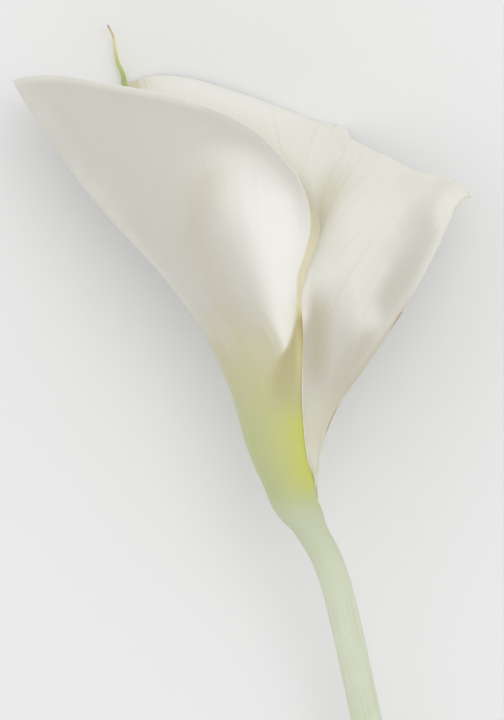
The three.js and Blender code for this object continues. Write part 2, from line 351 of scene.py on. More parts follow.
class Recipe:
    """The nodes of one material, put together from short calls."""

    def __init__(self, name: str) -> None:
        """Starts a material with a Principled shader.

        Args:
            name: The material's name.
        """
        self.material = bpy.data.materials.new(name)
        self.material.use_nodes = True
        self.tree = self.material.node_tree
        self.shader = self.tree.nodes["Principled BSDF"]

    def feed(self, socket: Socket, value: Socket | float | Sequence[float]) -> None:
        """Links a socket to another, or sets it to a value.

        Args:
            socket: The socket to feed.
            value: The other socket, a number, or a colour or vector.
        """
        if isinstance(value, bpy.types.NodeSocket):
            self.tree.links.new(value, socket)
        elif isinstance(value, (int, float)):
            socket.default_value = value
        else:
            opaque = [1.0] * (len(socket.default_value) - len(value))
            socket.default_value = [*value, *opaque]

    def node(self, kind: str, inputs: dict[str | int, object],
             **settings: object) -> bpy.types.Node:
        """Adds a node.

        Args:
            kind: Its type, without "ShaderNode".
            inputs: What goes into its sockets, by name or number.
            **settings: Its own properties.

        Returns:
            The node.
        """
        made = self.tree.nodes.new("ShaderNode" + kind)
        for name, value in settings.items():
            setattr(made, name, value)
        for key, value in inputs.items():
            self.feed(made.inputs[key], value)
        return made

    def value(self, name: str) -> Socket:
        """A value that the mesh holds at its corners."""
        return self.node("Attribute", {}, attribute_name=name).outputs["Fac"]

    def place(self) -> Socket:
        """The point's place in the frame, in metres."""
        return self.node("TexCoord", {}).outputs["Object"]

    def maths(self, operation: str, *inputs: Socket | float) -> Socket:
        """One sum of a Math node."""
        return self.node("Math", dict(enumerate(inputs)), operation=operation).outputs[0]

    def climb(self, value: Socket, span: Span, heights: Span = (0.0, 1.0)) -> Socket:
        """A smooth climb over a span of the value.

        Args:
            value: The value that is read.
            span: Where the climb begins and ends.
            heights: The results there.

        Returns:
            The result.
        """
        (low, high), (start, end) = span, heights
        inputs = {"Value": value, "From Min": low, "From Max": high, "To Min": start, "To Max": end}
        return self.node("MapRange", inputs, interpolation_type="SMOOTHSTEP").outputs["Result"]

    def noise(self, vector: Socket, scale: float, detail: float = 2.0,
              roughness: float = 0.5) -> Socket:
        """A noise texture's value, from 0 to 1."""
        inputs = {"Vector": vector, "Scale": scale, "Detail": detail, "Roughness": roughness}
        return self.node("TexNoise", inputs).outputs["Fac"]

    def lines(self, aside: Socket, along: Socket, count: float, drift: float,
              detail: float = 3.0, roughness: float = 0.5) -> Socket:
        """Noise that is drawn out along a surface into fine lines.

        Args:
            aside: The value that grows from line to line.
            along: The value that grows along a line.
            count: About how many lines lie side by side.
            drift: About how often a line changes on its way.
            detail: The noise's detail.
            roughness: The strength of that detail.

        Returns:
            The noise's value, from 0 to 1.
        """
        stretched = self.node("CombineXYZ", {
            "X": self.maths("MULTIPLY", aside, count),
            "Y": self.maths("MULTIPLY", along, drift),
        })
        return self.noise(stretched.outputs[0], 1.0, detail, roughness)

    def ragged(self, share: Socket, lines: Socket, reach: float) -> Socket:
        """A share whose half-way places are broken up along lines.

        Args:
            share: The share, from 0 to 1.
            lines: The lines' noise.
            reach: How far they shift the share.

        Returns:
            The new share, from 0 to 1.
        """
        uneven = self.maths("MULTIPLY", self.maths("SUBTRACT", lines, 0.5), reach)
        halfway = self.maths("MULTIPLY", share, self.maths("SUBTRACT", 1.0, share))
        shifted = self.maths("MULTIPLY_ADD", uneven, halfway, share)
        return self.maths("MAXIMUM", self.maths("MINIMUM", shifted, 1.0), 0.0)

    def blend(self, share: Socket, first: Socket | Colour, second: Socket | Colour) -> Socket:
        """A mix of two colours.

        Args:
            share: The second colour's share.
            first: The colour at 0.
            second: The colour at 1.

        Returns:
            The mix.
        """
        made = self.node("Mix", {}, data_type="RGBA")
        colours = [socket for socket in made.inputs if socket.type == "RGBA"]
        self.feed(made.inputs[0], share)
        self.feed(colours[0], first)
        self.feed(colours[1], second)
        return next(socket for socket in made.outputs if socket.type == "RGBA")

    def bump(self, height: Socket, distance: float, strength: float = 1.0,
             normal: Socket | None = None) -> Socket:
        """The surface's normal over a relief.

        Args:
            height: The relief, from 0 to 1.
            distance: Its full depth in metres.
            strength: How much of it shows.
            normal: A normal to add it to.

        Returns:
            The new normal.
        """
        made = self.node("Bump", {"Height": height, "Distance": distance, "Strength": strength})
        if normal is not None:
            self.feed(made.inputs["Normal"], normal)
        return made.outputs["Normal"]

    def finish(self, colour: Socket, roughness: Socket | float, normal: Socket | None = None,
               **sockets: object) -> bpy.types.Material:
        """Joins everything to the shader.

        Args:
            colour: Its colour.
            roughness: Its roughness.
            normal: Its normal, if the surface has relief.
            **sockets: The shader's own other values, with _ for a space.

        Returns:
            The material.
        """
        self.feed(self.shader.inputs["Base Color"], colour)
        self.feed(self.shader.inputs["Roughness"], roughness)
        if normal is not None:
            self.feed(self.shader.inputs["Normal"], normal)
        for name, value in sockets.items():
            self.feed(self.shader.inputs[name.replace("_", " ")], value)
        return self.material


@dataclass(frozen=True)
class Coat:
    """One tint of the petal: its colour, and how its edge is broken up."""

    tint: Tint
    colour: Colour
    ragged: float  # how far the lines break up its edge
    feathered: bool = False  # whether broad feathers break it up, and not fine streaks


@dataclass(frozen=True)
class PetalFinish:
    """The spathe's skin: white within, ivory without, green at the tube and dry at the edge, with
    painted light and shade over it.
    """

    # The ivory without is partly the petal's own tone and partly painted shade of the outer face.
    ivory: Colour = (0.625, 0.61, 0.55)
    white: Colour = (0.835, 0.82, 0.73)
    vein: Colour = (0.62, 0.58, 0.47)
    # The bright coat is painted light, the shade coat painted shade and the glow coat a painted
    # glow; cream and honey are partly painted shade, and gold is partly painted glow.
    coats: tuple[Coat, ...] = (
        Coat(Tint.BRIGHT, (0.925, 0.92, 0.85), 1.5),
        Coat(Tint.SHADE, (0.50, 0.455, 0.32), 1.0),
        Coat(Tint.OLIVE, (0.57, 0.55, 0.355), 7.0, feathered=True),
        Coat(Tint.GREEN, (0.51, 0.55, 0.28), 7.0, feathered=True),
        Coat(Tint.LIME, (0.60, 0.63, 0.115), 2.0),
        Coat(Tint.CREAM, (0.66, 0.635, 0.48), 2.0),
        Coat(Tint.HONEY, (0.475, 0.435, 0.235), 2.0),
        Coat(Tint.GOLD, (0.99, 0.95, 0.80), 2.0),
        Coat(Tint.GLOW, (0.98, 0.88, 0.52), 1.5),
        Coat(Tint.SAGE, (0.575, 0.62, 0.435), 1.0),
        Coat(Tint.TAN, (0.60, 0.53, 0.34), 4.0),
    )
    brown: Colour = (0.36, 0.20, 0.08)
    cloud_scale: float = 45.0
    cloudiness: float = 0.45  # how far clouds shift the share of white
    line_roughness: float = 0.55  # of the veins, streaks and feathers
    veins_across: float = 560.0
    vein_drift: float = 4.0
    vein_span: Span = (0.5, 0.75)
    vein_share: Span = (0.0, 0.16)
    vein_depth: float = 0.00005
    streaks_across: float = 130.0
    streak_drift: float = 2.2
    streak_span: Span = (0.48, 0.8)
    streak_share: Span = (0.0, 0.22)
    feathers_across: float = 44.0
    feather_drift: float = 4.5
    crumb_scale: float = 900.0  # of the dry edge
    crumb_span: Span = (0.3, 0.55)
    crumb_share: Span = (0.3, 1.0)
    grain_scale: float = 2600.0
    grain_depth: float = 0.00002
    rough_span: Span = (0.3, 1.4)
    roughness: Span = (0.44, 0.75)
    through: Colour = (1.0, 0.94, 0.70)  # painted glow: an emission colour that stands in for the light that the throat's thin wall lets through
    painted_glow_strength: float = 0.19
    thin_span: Span = (-0.03, 0.12)  # the skirt over the stem isn't thin, so no light spreads in it
    thin_share: Span = (0.0, 0.3)

    def material(self) -> bpy.types.Material:
        """Makes the material, which reads across, along and the shares of the tints.

        Returns:
            The material.
        """
        make = Recipe("calla_petal")
        across, along = make.value("across"), make.value("along")
        veins = make.lines(across, along, self.veins_across, self.vein_drift, 1.0,
                           self.line_roughness)
        streaks = make.lines(across, along, self.streaks_across, self.streak_drift, 3.0,
                             self.line_roughness)
        feathers = make.lines(across, along, self.feathers_across, self.feather_drift, 2.0,
                              self.line_roughness)

        clouds = make.noise(make.place(), self.cloud_scale, detail=3.0)
        shift = make.maths("SUBTRACT", clouds, 0.5)
        white = make.value(Tint.WHITE.value)
        mottled = make.maths("MULTIPLY_ADD", shift, self.cloudiness, white)
        base = make.blend(make.climb(mottled, (0.0, 1.0)), self.ivory, self.white)
        base = make.blend(make.climb(streaks, self.streak_span, self.streak_share), base, self.vein)
        base = make.blend(make.climb(veins, self.vein_span, self.vein_share), base, self.vein)
        for coat in self.coats:
            lines = feathers if coat.feathered else streaks
            share = make.ragged(make.value(coat.tint.value), lines, coat.ragged)
            base = make.blend(share, base, coat.colour)
        crumbs = make.noise(make.place(), self.crumb_scale, detail=3.0, roughness=0.7)
        crumbs = make.climb(crumbs, self.crumb_span, self.crumb_share)
        dry = make.maths("MULTIPLY", make.value(Tint.DRY.value), crumbs)
        base = make.blend(dry, base, self.brown)

        grain = make.noise(make.place(), self.grain_scale)
        normal = make.bump(grain, self.grain_depth, strength=0.6)
        normal = make.bump(veins, self.vein_depth, strength=0.7, normal=normal)
        roughness = make.climb(make.maths("ADD", streaks, dry), self.rough_span, self.roughness)
        # Painted glow: the gold and glow tints emit light.
        lit = make.maths("MAXIMUM", make.value(Tint.GOLD.value), make.value(Tint.GLOW.value))
        return make.finish(base, roughness, normal,
                           Subsurface_Weight=make.climb(along, self.thin_span, self.thin_share),
                           Subsurface_Radius=(1.0, 0.96, 0.88), Subsurface_Scale=0.003,
                           Sheen_Weight=0.1, Sheen_Roughness=0.5, Specular_IOR_Level=0.3,
                           Emission_Color=self.through,
                           Emission_Strength=make.maths("MULTIPLY", lit, self.painted_glow_strength))


@dataclass(frozen=True)
class TailFinish:
    """The spathe's tail, green where it springs from the rim and dried to its tip."""

    root: Colour = (0.40, 0.53, 0.17)
    middle: Colour = (0.60, 0.62, 0.25)
    middle_along: Span = (0.5, 0.72)
    light: Colour = (0.74, 0.72, 0.42)
    light_along: Span = (0.7, 0.82)
    tan: Colour = (0.66, 0.50, 0.30)
    tan_along: Span = (0.83, 0.92)
    tip: Colour = (0.38, 0.31, 0.26)
    tip_along: Span = (0.94, 1.0)
    wander: float = 0.16  # how far the colours' ends shift
    wander_scale: float = 500.0
    fibres_around: float = 14.0
    fibre_drift: float = 9.0
    fibre_span: Span = (0.45, 0.75)
    fibre_share: Span = (0.0, 0.4)
    fibre_depth: float = 0.00012
    rough_span: Span = (0.6, 1.0)
    roughness: Span = (0.45, 0.85)

    def material(self) -> bpy.types.Material:
        """Makes the material, which reads along, from 0 at the root to 1 at the tip, and around.

        Returns:
            The material.
        """
        make = Recipe("calla_tail")
        wander = make.noise(make.place(), self.wander_scale, detail=3.0)
        wander = make.maths("MULTIPLY_ADD", wander, self.wander, -self.wander / 2)
        along = make.maths("ADD", make.value("along"), wander)
        fibres = make.lines(make.value("around"), along, self.fibres_around, self.fibre_drift)
        colour = make.blend(make.climb(along, self.middle_along), self.root, self.middle)
        colour = make.blend(make.climb(along, self.light_along), colour, self.light)
        colour = make.blend(make.climb(along, self.tan_along), colour, self.tan)
        colour = make.blend(make.climb(along, self.tip_along), colour, self.tip)
        lines = make.climb(fibres, self.fibre_span, self.fibre_share)
        colour = make.blend(lines, colour, self.light)
        normal = make.bump(fibres, self.fibre_depth, strength=0.8)
        roughness = make.climb(along, self.rough_span, self.roughness)
        return make.finish(colour, roughness, normal,
                           Subsurface_Weight=0.2, Subsurface_Radius=(1.0, 0.9, 0.4),
                           Subsurface_Scale=0.0008, Specular_IOR_Level=0.35)


@dataclass(frozen=True)
class StemFinish:
    """The stem's waxy skin, sage where it meets the flower and greener to the cut end."""

    neck: Colour = (0.575, 0.62, 0.435)
    upper: Colour = (0.67, 0.71, 0.54)
    upper_along: Span = (0.04, 0.22)
    lower: Colour = (0.42, 0.52, 0.22)
    lower_along: Span = (0.35, 0.95)
    dark: Colour = (0.30, 0.40, 0.15)
    bloom: Colour = (0.78, 0.82, 0.70)
    fibres_around: float = 34.0
    fibre_drift: float = 6.0
    fibre_span: Span = (0.5, 0.75)
    fibre_share: Span = (0.0, 0.28)
    fibre_depth: float = 0.0001
    blotch_scale: float = 70.0
    blotch_span: Span = (0.5, 0.75)
    blotch_share: Span = (0.0, 0.3)
    plain_span: Span = (0.06, 0.3)  # fibres and bloom are faint near the flower
    plain_share: Span = (0.15, 1.0)
    pore_scale: float = 3200.0
    pore_depth: float = 0.00002
    rough_span: Span = (0.3, 0.7)
    roughness: Span = (0.38, 0.58)

    def material(self) -> bpy.types.Material:
        """Makes the material, which reads along, from 0 at the flower to 1 at the cut, and around.

        Returns:
            The material.
        """
        make = Recipe("calla_stem")
        along = make.value("along")
        fibres = make.lines(make.value("around"), along, self.fibres_around, self.fibre_drift)
        blotches = make.noise(make.place(), self.blotch_scale, detail=3.0)
        colour = make.blend(make.climb(along, self.upper_along), self.neck, self.upper)
        colour = make.blend(make.climb(along, self.lower_along), colour, self.lower)
        away = make.climb(along, self.plain_span, self.plain_share)
        lines = make.climb(fibres, self.fibre_span, self.fibre_share)
        colour = make.blend(make.maths("MULTIPLY", lines, away), colour, self.dark)
        waxy = make.climb(blotches, self.blotch_span, self.blotch_share)
        colour = make.blend(make.maths("MULTIPLY", waxy, away), colour, self.bloom)
        pores = make.noise(make.place(), self.pore_scale, detail=1.0)
        normal = make.bump(pores, self.pore_depth, strength=0.5)
        normal = make.bump(fibres, self.fibre_depth, strength=0.6, normal=normal)
        roughness = make.climb(blotches, self.rough_span, self.roughness)
        return make.finish(colour, roughness, normal,
                           Subsurface_Weight=0.15, Subsurface_Radius=(1.0, 1.0, 0.6),
                           Subsurface_Scale=0.0015, Coat_Weight=0.08, Coat_Roughness=0.4,
                           Specular_IOR_Level=0.4)


@dataclass(frozen=True)
class CutFinish:
    """The stem's cut end: pale wet pith dotted with strands, in a green skin."""

    pith: Colour = (0.78, 0.80, 0.60)
    strand: Colour = (0.48, 0.52, 0.25)
    skin: Colour = (0.36, 0.45, 0.18)
    strand_scale: float = 1100.0
    strand_span: Span = (0.12, 0.4)
    strand_depth: float = 0.0001
    skin_out: Span = (0.84, 0.97)
    rough_span: Span = (0.0, 0.6)
    roughness: Span = (0.3, 0.5)

    def material(self) -> bpy.types.Material:
        """Makes the material, which reads out, from 0 in the middle to 1 at the skin.

        Returns:
            The material.
        """
        make = Recipe("calla_cut")
        inputs = {"Vector": make.place(), "Scale": self.strand_scale}
        strands = make.node("TexVoronoi", inputs).outputs[0]
        colour = make.blend(make.climb(strands, self.strand_span), self.strand, self.pith)
        colour = make.blend(make.climb(make.value("out"), self.skin_out), colour, self.skin)
        normal = make.bump(strands, self.strand_depth, strength=0.6)
        roughness = make.climb(strands, self.rough_span, self.roughness)
        return make.finish(colour, roughness, normal,
                           Subsurface_Weight=0.2, Subsurface_Radius=(1.0, 1.0, 0.6),
                           Subsurface_Scale=0.001)


@dataclass(frozen=True)
class SpadixFinish:
    """The spadix's florets: golden domes dusted with pollen, with painted shade in the gaps between
    them.
    """

    gold: Colour = (0.86, 0.60, 0.07)
    amber: Colour = (0.74, 0.44, 0.03)
    # Painted shade in the gaps between the florets.
    gap: Colour = (0.45, 0.32, 0.04)
    gap_height: Span = (0.45, 0.05)
    pollen: Colour = (0.95, 0.80, 0.32)
    pollen_scale: float = 2400.0
    pollen_span: Span = (0.45, 0.7)
    pollen_height: Span = (0.4, 0.9)
    pollen_depth: float = 0.00006
    green: Colour = (0.50, 0.55, 0.14)
    green_along: Span = (0.22, 0.02)
    rough_span: Span = (0.3, 0.7)
    roughness: Span = (0.6, 0.9)

    def material(self) -> bpy.types.Material:
        """Makes the material, which reads height and tone of the florets, and along.

        Returns:
            The material.
        """
        make = Recipe("calla_spadix")
        height = make.value("height")
        colour = make.blend(make.climb(make.value("tone"), (0.0, 1.0)), self.amber, self.gold)
        # Painted shade in the gaps, by the florets' height.
        colour = make.blend(make.climb(height, self.gap_height), colour, self.gap)
        dust = make.noise(make.place(), self.pollen_scale, roughness=0.7)
        dusted = make.maths("MULTIPLY", make.climb(dust, self.pollen_span),
                            make.climb(height, self.pollen_height))
        colour = make.blend(dusted, colour, self.pollen)
        colour = make.blend(make.climb(make.value("along"), self.green_along), colour, self.green)
        normal = make.bump(dust, self.pollen_depth, strength=0.8)
        return make.finish(colour, make.climb(dust, self.rough_span, self.roughness), normal,
                           Subsurface_Weight=0.15, Subsurface_Radius=(1.0, 0.7, 0.2),
                           Subsurface_Scale=0.0005, Sheen_Weight=0.2, Specular_IOR_Level=0.3)


@dataclass(frozen=True)
class FloorFinish:
    """A plain pale studio floor with a faint unevenness."""

    pale: Colour = (0.87, 0.87, 0.87)
    grey: Colour = (0.855, 0.855, 0.855)
    cloud_scale: float = 5.0
    roughness: float = 0.9

    def material(self) -> bpy.types.Material:
        """Makes the material.

        Returns:
            The material.
        """
        make = Recipe("floor")
        clouds = make.noise(make.place(), self.cloud_scale)
        colour = make.blend(clouds, self.pale, self.grey)
        return make.finish(colour, self.roughness, Specular_IOR_Level=0.1)


# ---- The foot and the stem ----


@dataclass(frozen=True)
class Foot:
    """The slanting ring at the stem's top on which the spathe and the spadix stand."""

    centre: Point = (13.3, -42.5, 42.0)
    lean: float = 16.0  # degrees left of +y
    gap: float = 0.3  # between the solids
    neck: float = 1.5  # how far the stem and the spadix keep straight

    @property
    def axis(self) -> np.ndarray:
        """The direction from the stem into the flower."""
        lean = math.radians(self.lean)
        return np.array([-math.sin(lean), math.cos(lean), 0.0])

    @property
    def right(self) -> np.ndarray:
        """The direction across the ring, to its right."""
        lean = math.radians(self.lean)
        return np.array([math.cos(lean), math.sin(lean), 0.0])

    def point(self, degrees: float, radius: float, above: float) -> np.ndarray:
        """A point round the foot; 0 degrees is its right side and 90 its front.

        Args:
            degrees: The angle round the ring.
            radius: The distance from the axis.
            above: The distance along the axis, into the flower.

        Returns:
            The point.
        """
        turn = math.radians(degrees)
        outward = self.right * math.cos(turn) + UP * math.sin(turn)
        return np.array(self.centre) + self.axis * above + outward * radius


@dataclass
class Stem:
    """The stem from its swollen top, which carries the flower, to the cut end."""

    foot: Foot
    line: tuple[Point, ...] = (
        (16.1, -47.9, 41.4), (18.9, -53.1, 40.5), (22, -58.7, 39.3), (24.8, -66, 37.6),
        (27.9, -78, 34.6), (31, -92, 31), (34, -106, 27.2), (38, -125, 21.8),
        (42.6, -150, 14.4), (48, -185, 3.9))
    radius: float = 4.6
    top: float = 7.0  # its radius at the foot
    swelling: float = 15.0  # how far it narrows from there
    swelling_curve: float = 2.0
    sunk: float = 1.0  # how much narrower its top is, inside the spathe's skirt
    sunk_below: Span = (4.5, 1.0)
    ridge: float = 0.05  # height of the fine ridges
    ridges: int = 13
    ridge_along: Span = (0.08, 0.3)
    ridge_wander: float = 0.25  # how far they sway round the stem, and how fast
    ridge_sway: float = 5.0
    steps: int = 300
    sides: int = 96
    cut_rings: int = 13
    cut_middle: float = 0.02  # the innermost ring, as a share of the cut

    def middle(self) -> tuple[np.ndarray, np.ndarray]:
        """Its middle line, and how far each point lies below the foot.

        Returns:
            The points and the lengths.
        """
        start = np.array(self.foot.centre)
        ends = tuple(start), tuple(start - self.foot.axis * self.foot.neck)
        line = curve_through((*ends, *self.line), self.steps)
        steps = np.linalg.norm(np.diff(line, axis=0), axis=1)
        return line, np.concatenate([[0.0], np.cumsum(steps)])

    def radius_at(self, below: Values) -> np.ndarray:
        """Its radius at a distance below the foot."""
        rise = np.clip(1 - np.asarray(below) / self.swelling, 0, 1)
        return lerp(self.radius, self.top, rise ** self.swelling_curve)

    def section(self, below: float) -> tuple[np.ndarray, np.ndarray, np.ndarray, float]:
        """One section across the stem.

        Args:
            below: Distance below the foot.

        Returns:
            Its middle, the unit vectors to the flower's right and front, and its radius.
        """
        line, lengths = self.middle()
        right, up = frames_along(line)
        here = int(np.searchsorted(lengths, below))
        return line[here], -right[here], up[here], float(self.radius_at(below))

    def skin(self) -> MeshParts:
        """The stem as a closed mesh with a flat cut end.

        Returns:
            The mesh.
        """
        line, below = self.middle()
        share = below / below[-1]
        radius = self.radius_at(below) - self.sunk * smoothstep(below, *self.sunk_below)
        wander = self.ridge_wander * np.sin(self.ridge_sway * share)
        ribbing = np.cos(self.ridges * (circle(self.sides)[None, :] + wander[:, None]))
        height = self.ridge * smoothstep(share, *self.ridge_along)
        skin = rod(line, radius[:, None] + ribbing * height[:, None])
        skin[..., 2] = np.maximum(skin[..., 2], 0.0)
        return self.with_cut(skin, rod_shares(share, self.sides))

    def with_cut(self, skin: np.ndarray, shares: dict[str, np.ndarray]) -> MeshParts:
        """Adds the cut face, in rings, to the skin.

        Args:
            skin: Points by step and side.
            shares: What the finish reads, by step and side.

        Returns:
            The whole stem.
        """
        out = np.linspace(1.0, self.cut_middle, self.cut_rings + 1)[1:]
        middle = skin[-1].mean(axis=0)
        rings = np.array([lerp(middle, skin[-1], share) for share in out])
        repeated = np.ones((self.cut_rings, 1))
        values = {name: np.concatenate([value, value[-1:] * repeated])
                  for name, value in shares.items()}
        values["out"] = np.concatenate([np.ones(skin.shape[:2]),
                                        np.broadcast_to(out[:, None], rings.shape[:2])])
        parts = rod_mesh(np.concatenate([skin, rings]), values)
        cut_from = (len(skin) - 1) * self.sides
        parts.slots = [int(min(face) >= cut_from) for face in parts.faces]
        return parts

    def make(self) -> bpy.types.Object:
        """Builds and dresses the stem.

        Returns:
            The piece.
        """
        materials = [StemFinish().material(), CutFinish().material()]
        built = self.skin().build("calla_stem", materials)
        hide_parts("stem")
        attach(built, ROOT)
        return built


# ---- The spathe's lines ----


@dataclass(frozen=True)
class Rib:
    """A line of the spathe's sheet, from an angle on the foot to the rim."""

    name: str
    foot: float  # degrees round the foot
    through: tuple[Point, ...]


RIBS = (
    Rib("outer margin", 18, (
        (19.8, -35, 46.4), (20.3, -29, 50), (24.6, -16, 52.5), (34.4, -1.5, 51.5),
        (47, 17.5, 47.5), (56.6, 35.5, 39), (61.4, 45.6, 33), (66, 48.8, 29))),
    Rib("lapel", 10, (
        (18.9, -34.4, 47), (18.9, -28.3, 52), (20.4, -13.5, 56), (25.5, 1.5, 59.6),
        (34, 20, 60.2), (46, 39, 48), (55, 49.7, 32), (59.4, 54.6, 23))),
    Rib("lapel shoulder", 3, (
        (18.2, -34, 47), (17.4, -27.8, 52.6), (16.6, -11.6, 57.3), (17.9, 4.5, 61),
        (21, 22.5, 66), (36, 42, 56), (47.7, 52.8, 30), (51, 56.7, 20))),
    Rib("roll", -5, (
        (17.7, -33.6, 46.6), (16.5, -27.4, 51.9), (15.2, -10.8, 56.2), (15.6, 6, 59.5),
        (15.8, 24, 64.5), (27.5, 44.5, 58), (40.5, 56.6, 27), (43, 60.5, 16))),
    Rib("under the roll", -15, (
        (19, -33.3, 44.6), (18, -27, 49.8), (17, -10, 53.2), (17.3, 7, 56),
        (18.5, 26, 60), (23, 47, 52), (30.3, 61.5, 19), (31.8, 66, 8))),
    Rib("right", -42, (
        (18.5, -33.1, 38.2), (20.9, -26.2, 44), (21.2, -9, 46), (21.8, 8, 48),
        (24, 27.5, 50), (18.5, 50, 42), (24.3, 65, 9), (26.6, 70, 0.2))),
    Rib("right back", -66, (
        (15.1, -34, 34.7), (19.4, -25.6, 37), (20, -8.5, 36.5), (20.5, 9, 37),
        (22, 29, 37), (13.5, 54, 28), (10.5, 70.7, 9), (11, 75.6, 1.2))),
    Rib("back, right of the midrib", -90, (
        (11.3, -35, 33.7), (14, -25, 32.3), (13.6, -8, 30.5), (13, 10, 28.5),
        (11, 31, 24), (3, 58, 14.5), (-6, 76.7, 8.5), (-7, 82, 2))),
    Rib("back", -112, (
        (8.3, -35.8, 34.4), (8.5, -26.4, 31.6), (5.9, -9.5, 29.2), (2.5, 10, 26.5),
        (-2, 31, 20.5), (-11, 59, 11.5), (-23, 80.2, 6.5), (-25.2, 86.1, 1.5))),
    Rib("midrib", -135, (
        (5.6, -36.5, 36.3), (3.9, -27.3, 33.5), (0.2, -11, 31.7), (-6, 9.5, 29),
        (-14, 29, 23), (-26, 57, 12), (-35.5, 76, 2.6), (-38.5, 82.4, 1.2))),
    Rib("left back", -158, (
        (4.2, -37, 39.2), (0.7, -28.2, 37), (-3.9, -11, 36.5), (-12, 9, 35.5),
        (-22.5, 27, 31), (-41, 53, 24), (-54, 77, 17), (-57.5, 83, 13))),
    Rib("left", -180, (
        (3.7, -37.3, 42.2), (-1, -26.5, 42.5), (-6, -9.3, 43), (-14.3, 8.3, 44),
        (-26.5, 25.3, 44), (-48, 48.5, 43), (-68, 77, 40.5), (-72.2, 84, 38))),
    Rib("left front", -215, (
        (5.2, -36.7, 46.8), (1.3, -27.5, 48.6), (-3.3, -10, 50.7), (-10.5, 8.3, 52.5),
        (-22, 25, 56), (-38, 51, 60), (-56, 79, 59), (-61, 85.5, 57))),
    Rib("front", -248, (
        (8.4, -35.8, 49.5), (6.5, -27.8, 52.1), (3.4, -10.3, 55.2), (-3, 8, 58.5),
        (-14, 24.5, 65), (-25, 50.5, 71.5), (-34, 75, 74), (-38.3, 81.6, 77))),
    Rib("front, towards the lapel", -280, (
        (12.6, -34.7, 49.6), (12.3, -27.6, 51.8), (10.4, -10, 55), (6, 7.5, 59.8),
        (-5, 24, 69), (-12, 48, 76.5), (-16, 70, 79), (-17.7, 77, 83))),
    Rib("tucked front", -315, (
        (17.5, -33.7, 46.8), (17, -26.8, 50.2), (15, -9.6, 54.5), (13.9, 7.5, 57.9),
        (5, 24, 68), (2.5, 43.5, 76), (1.5, 60.5, 79.5), (1.5, 67.8, 83.5))),
    Rib("inner margin", -348, (
        (18.1, -33.2, 43.2), (18.4, -26.3, 44.9), (18.1, -9, 47.3), (16.2, 8, 54.3),
        (13.2, 23, 65), (17.2, 38, 74), (16.6, 47.5, 77.5), (13.2, 55.5, 81))),
)
ROLL = next(k for k, rib in enumerate(RIBS) if rib.name == "roll") / (len(RIBS) - 1)
HOOK: Point = (63.5, 47.0, 31.0)  # the corner where the outer margin meets the rim


@dataclass(frozen=True)
class Sheet:
    """The spathe's sheet: a grid of points by row and column, and where each lies in it."""

    points: np.ndarray
    across: np.ndarray  # share of the width, from the outer margin to the inner one
    along: np.ndarray  # share of the length, from the foot to the rim; below 0 in the skirt
    edge: np.ndarray  # distance from the nearest free edge

    @property
    def x(self) -> np.ndarray:
        """How far to the right each point lies."""
        return self.points[..., 0]

    @property
    def y(self) -> np.ndarray:
        """How far up the flower each point lies."""
        return self.points[..., 1]

    def distance(self, place: Point) -> np.ndarray:
        """The distance of each point from a place."""
        return np.linalg.norm(self.points - np.array(place), axis=-1)


# ---- Where the petal's tints lie, painted light and shade among them ----
#
# The last word of a field says how it is measured: x, y, across, along, edge or distance. A pair is
# where a tint starts and where it is whole, and one number is its middle. A reach is how far it
# runs out from there. The other numbers are strengths, from 0 to 1, unless they say more.


@dataclass(frozen=True)
class SeamStrip:
    """The strip beside the seam where the front bends down: honey-coloured and partly darkened by
    painted shade, with a painted glow at its top.
    """

    left: Profile = (  # y, and the x of its left side there
        (-6.0, 5.3), (0.0, 8.0), (4.5, 11.0), (9.0, 12.5), (13.5, 13.4), (18.0, 13.9))
    softness: Span = (0.9, 2.6)  # of its left side, high and low, in millimetres
    softness_y: Span = (3.0, -4.0)
    top_y: Span = (28.0, 23.0)
    across: Span = (0.74, 0.80)
    # Honey share by y; the honey is partly the strip's colour and partly painted shade of the fold.
    honey: Profile = ((-19.0, 0.0), (-10.0, 0.6), (-4.0, 0.85), (2.0, 1.0))
    glow_y: Span = (9.0, 19.0)
    lit: float = 0.28  # a painted glow along its right side
    lit_x: Span = (12.0, 14.8)
    lit_y: Span = (-16.0, 4.0)

    def place(self, sheet: Sheet) -> np.ndarray:
        """Where the strip lies.

        Args:
            sheet: The spathe's sheet.

        Returns:
            Its share, from 0 to 1.
        """
        soft = lerp(*self.softness, smoothstep(sheet.y, *self.softness_y))
        inward = (sheet.x - profile(sheet.y, self.left)) / soft
        strip = smoothstep(inward, -1.0, 1.0) * smoothstep(sheet.y, *self.top_y)
        return strip * smoothstep(sheet.across, *self.across)

    def shares(self, sheet: Sheet) -> Shares:
        """Its tints.

        Args:
            sheet: The spathe's sheet.

        Returns:
            Their shares.
        """
        strip = self.place(sheet)
        lit = self.lit * smoothstep(sheet.x, *self.lit_x) * smoothstep(sheet.y, *self.lit_y)
        # Honey with painted shade, and a painted glow.
        return {
            Tint.HONEY: strip * profile(sheet.y, self.honey),
            Tint.GLOW: strip * np.maximum(smoothstep(sheet.y, *self.glow_y), lit),
        }


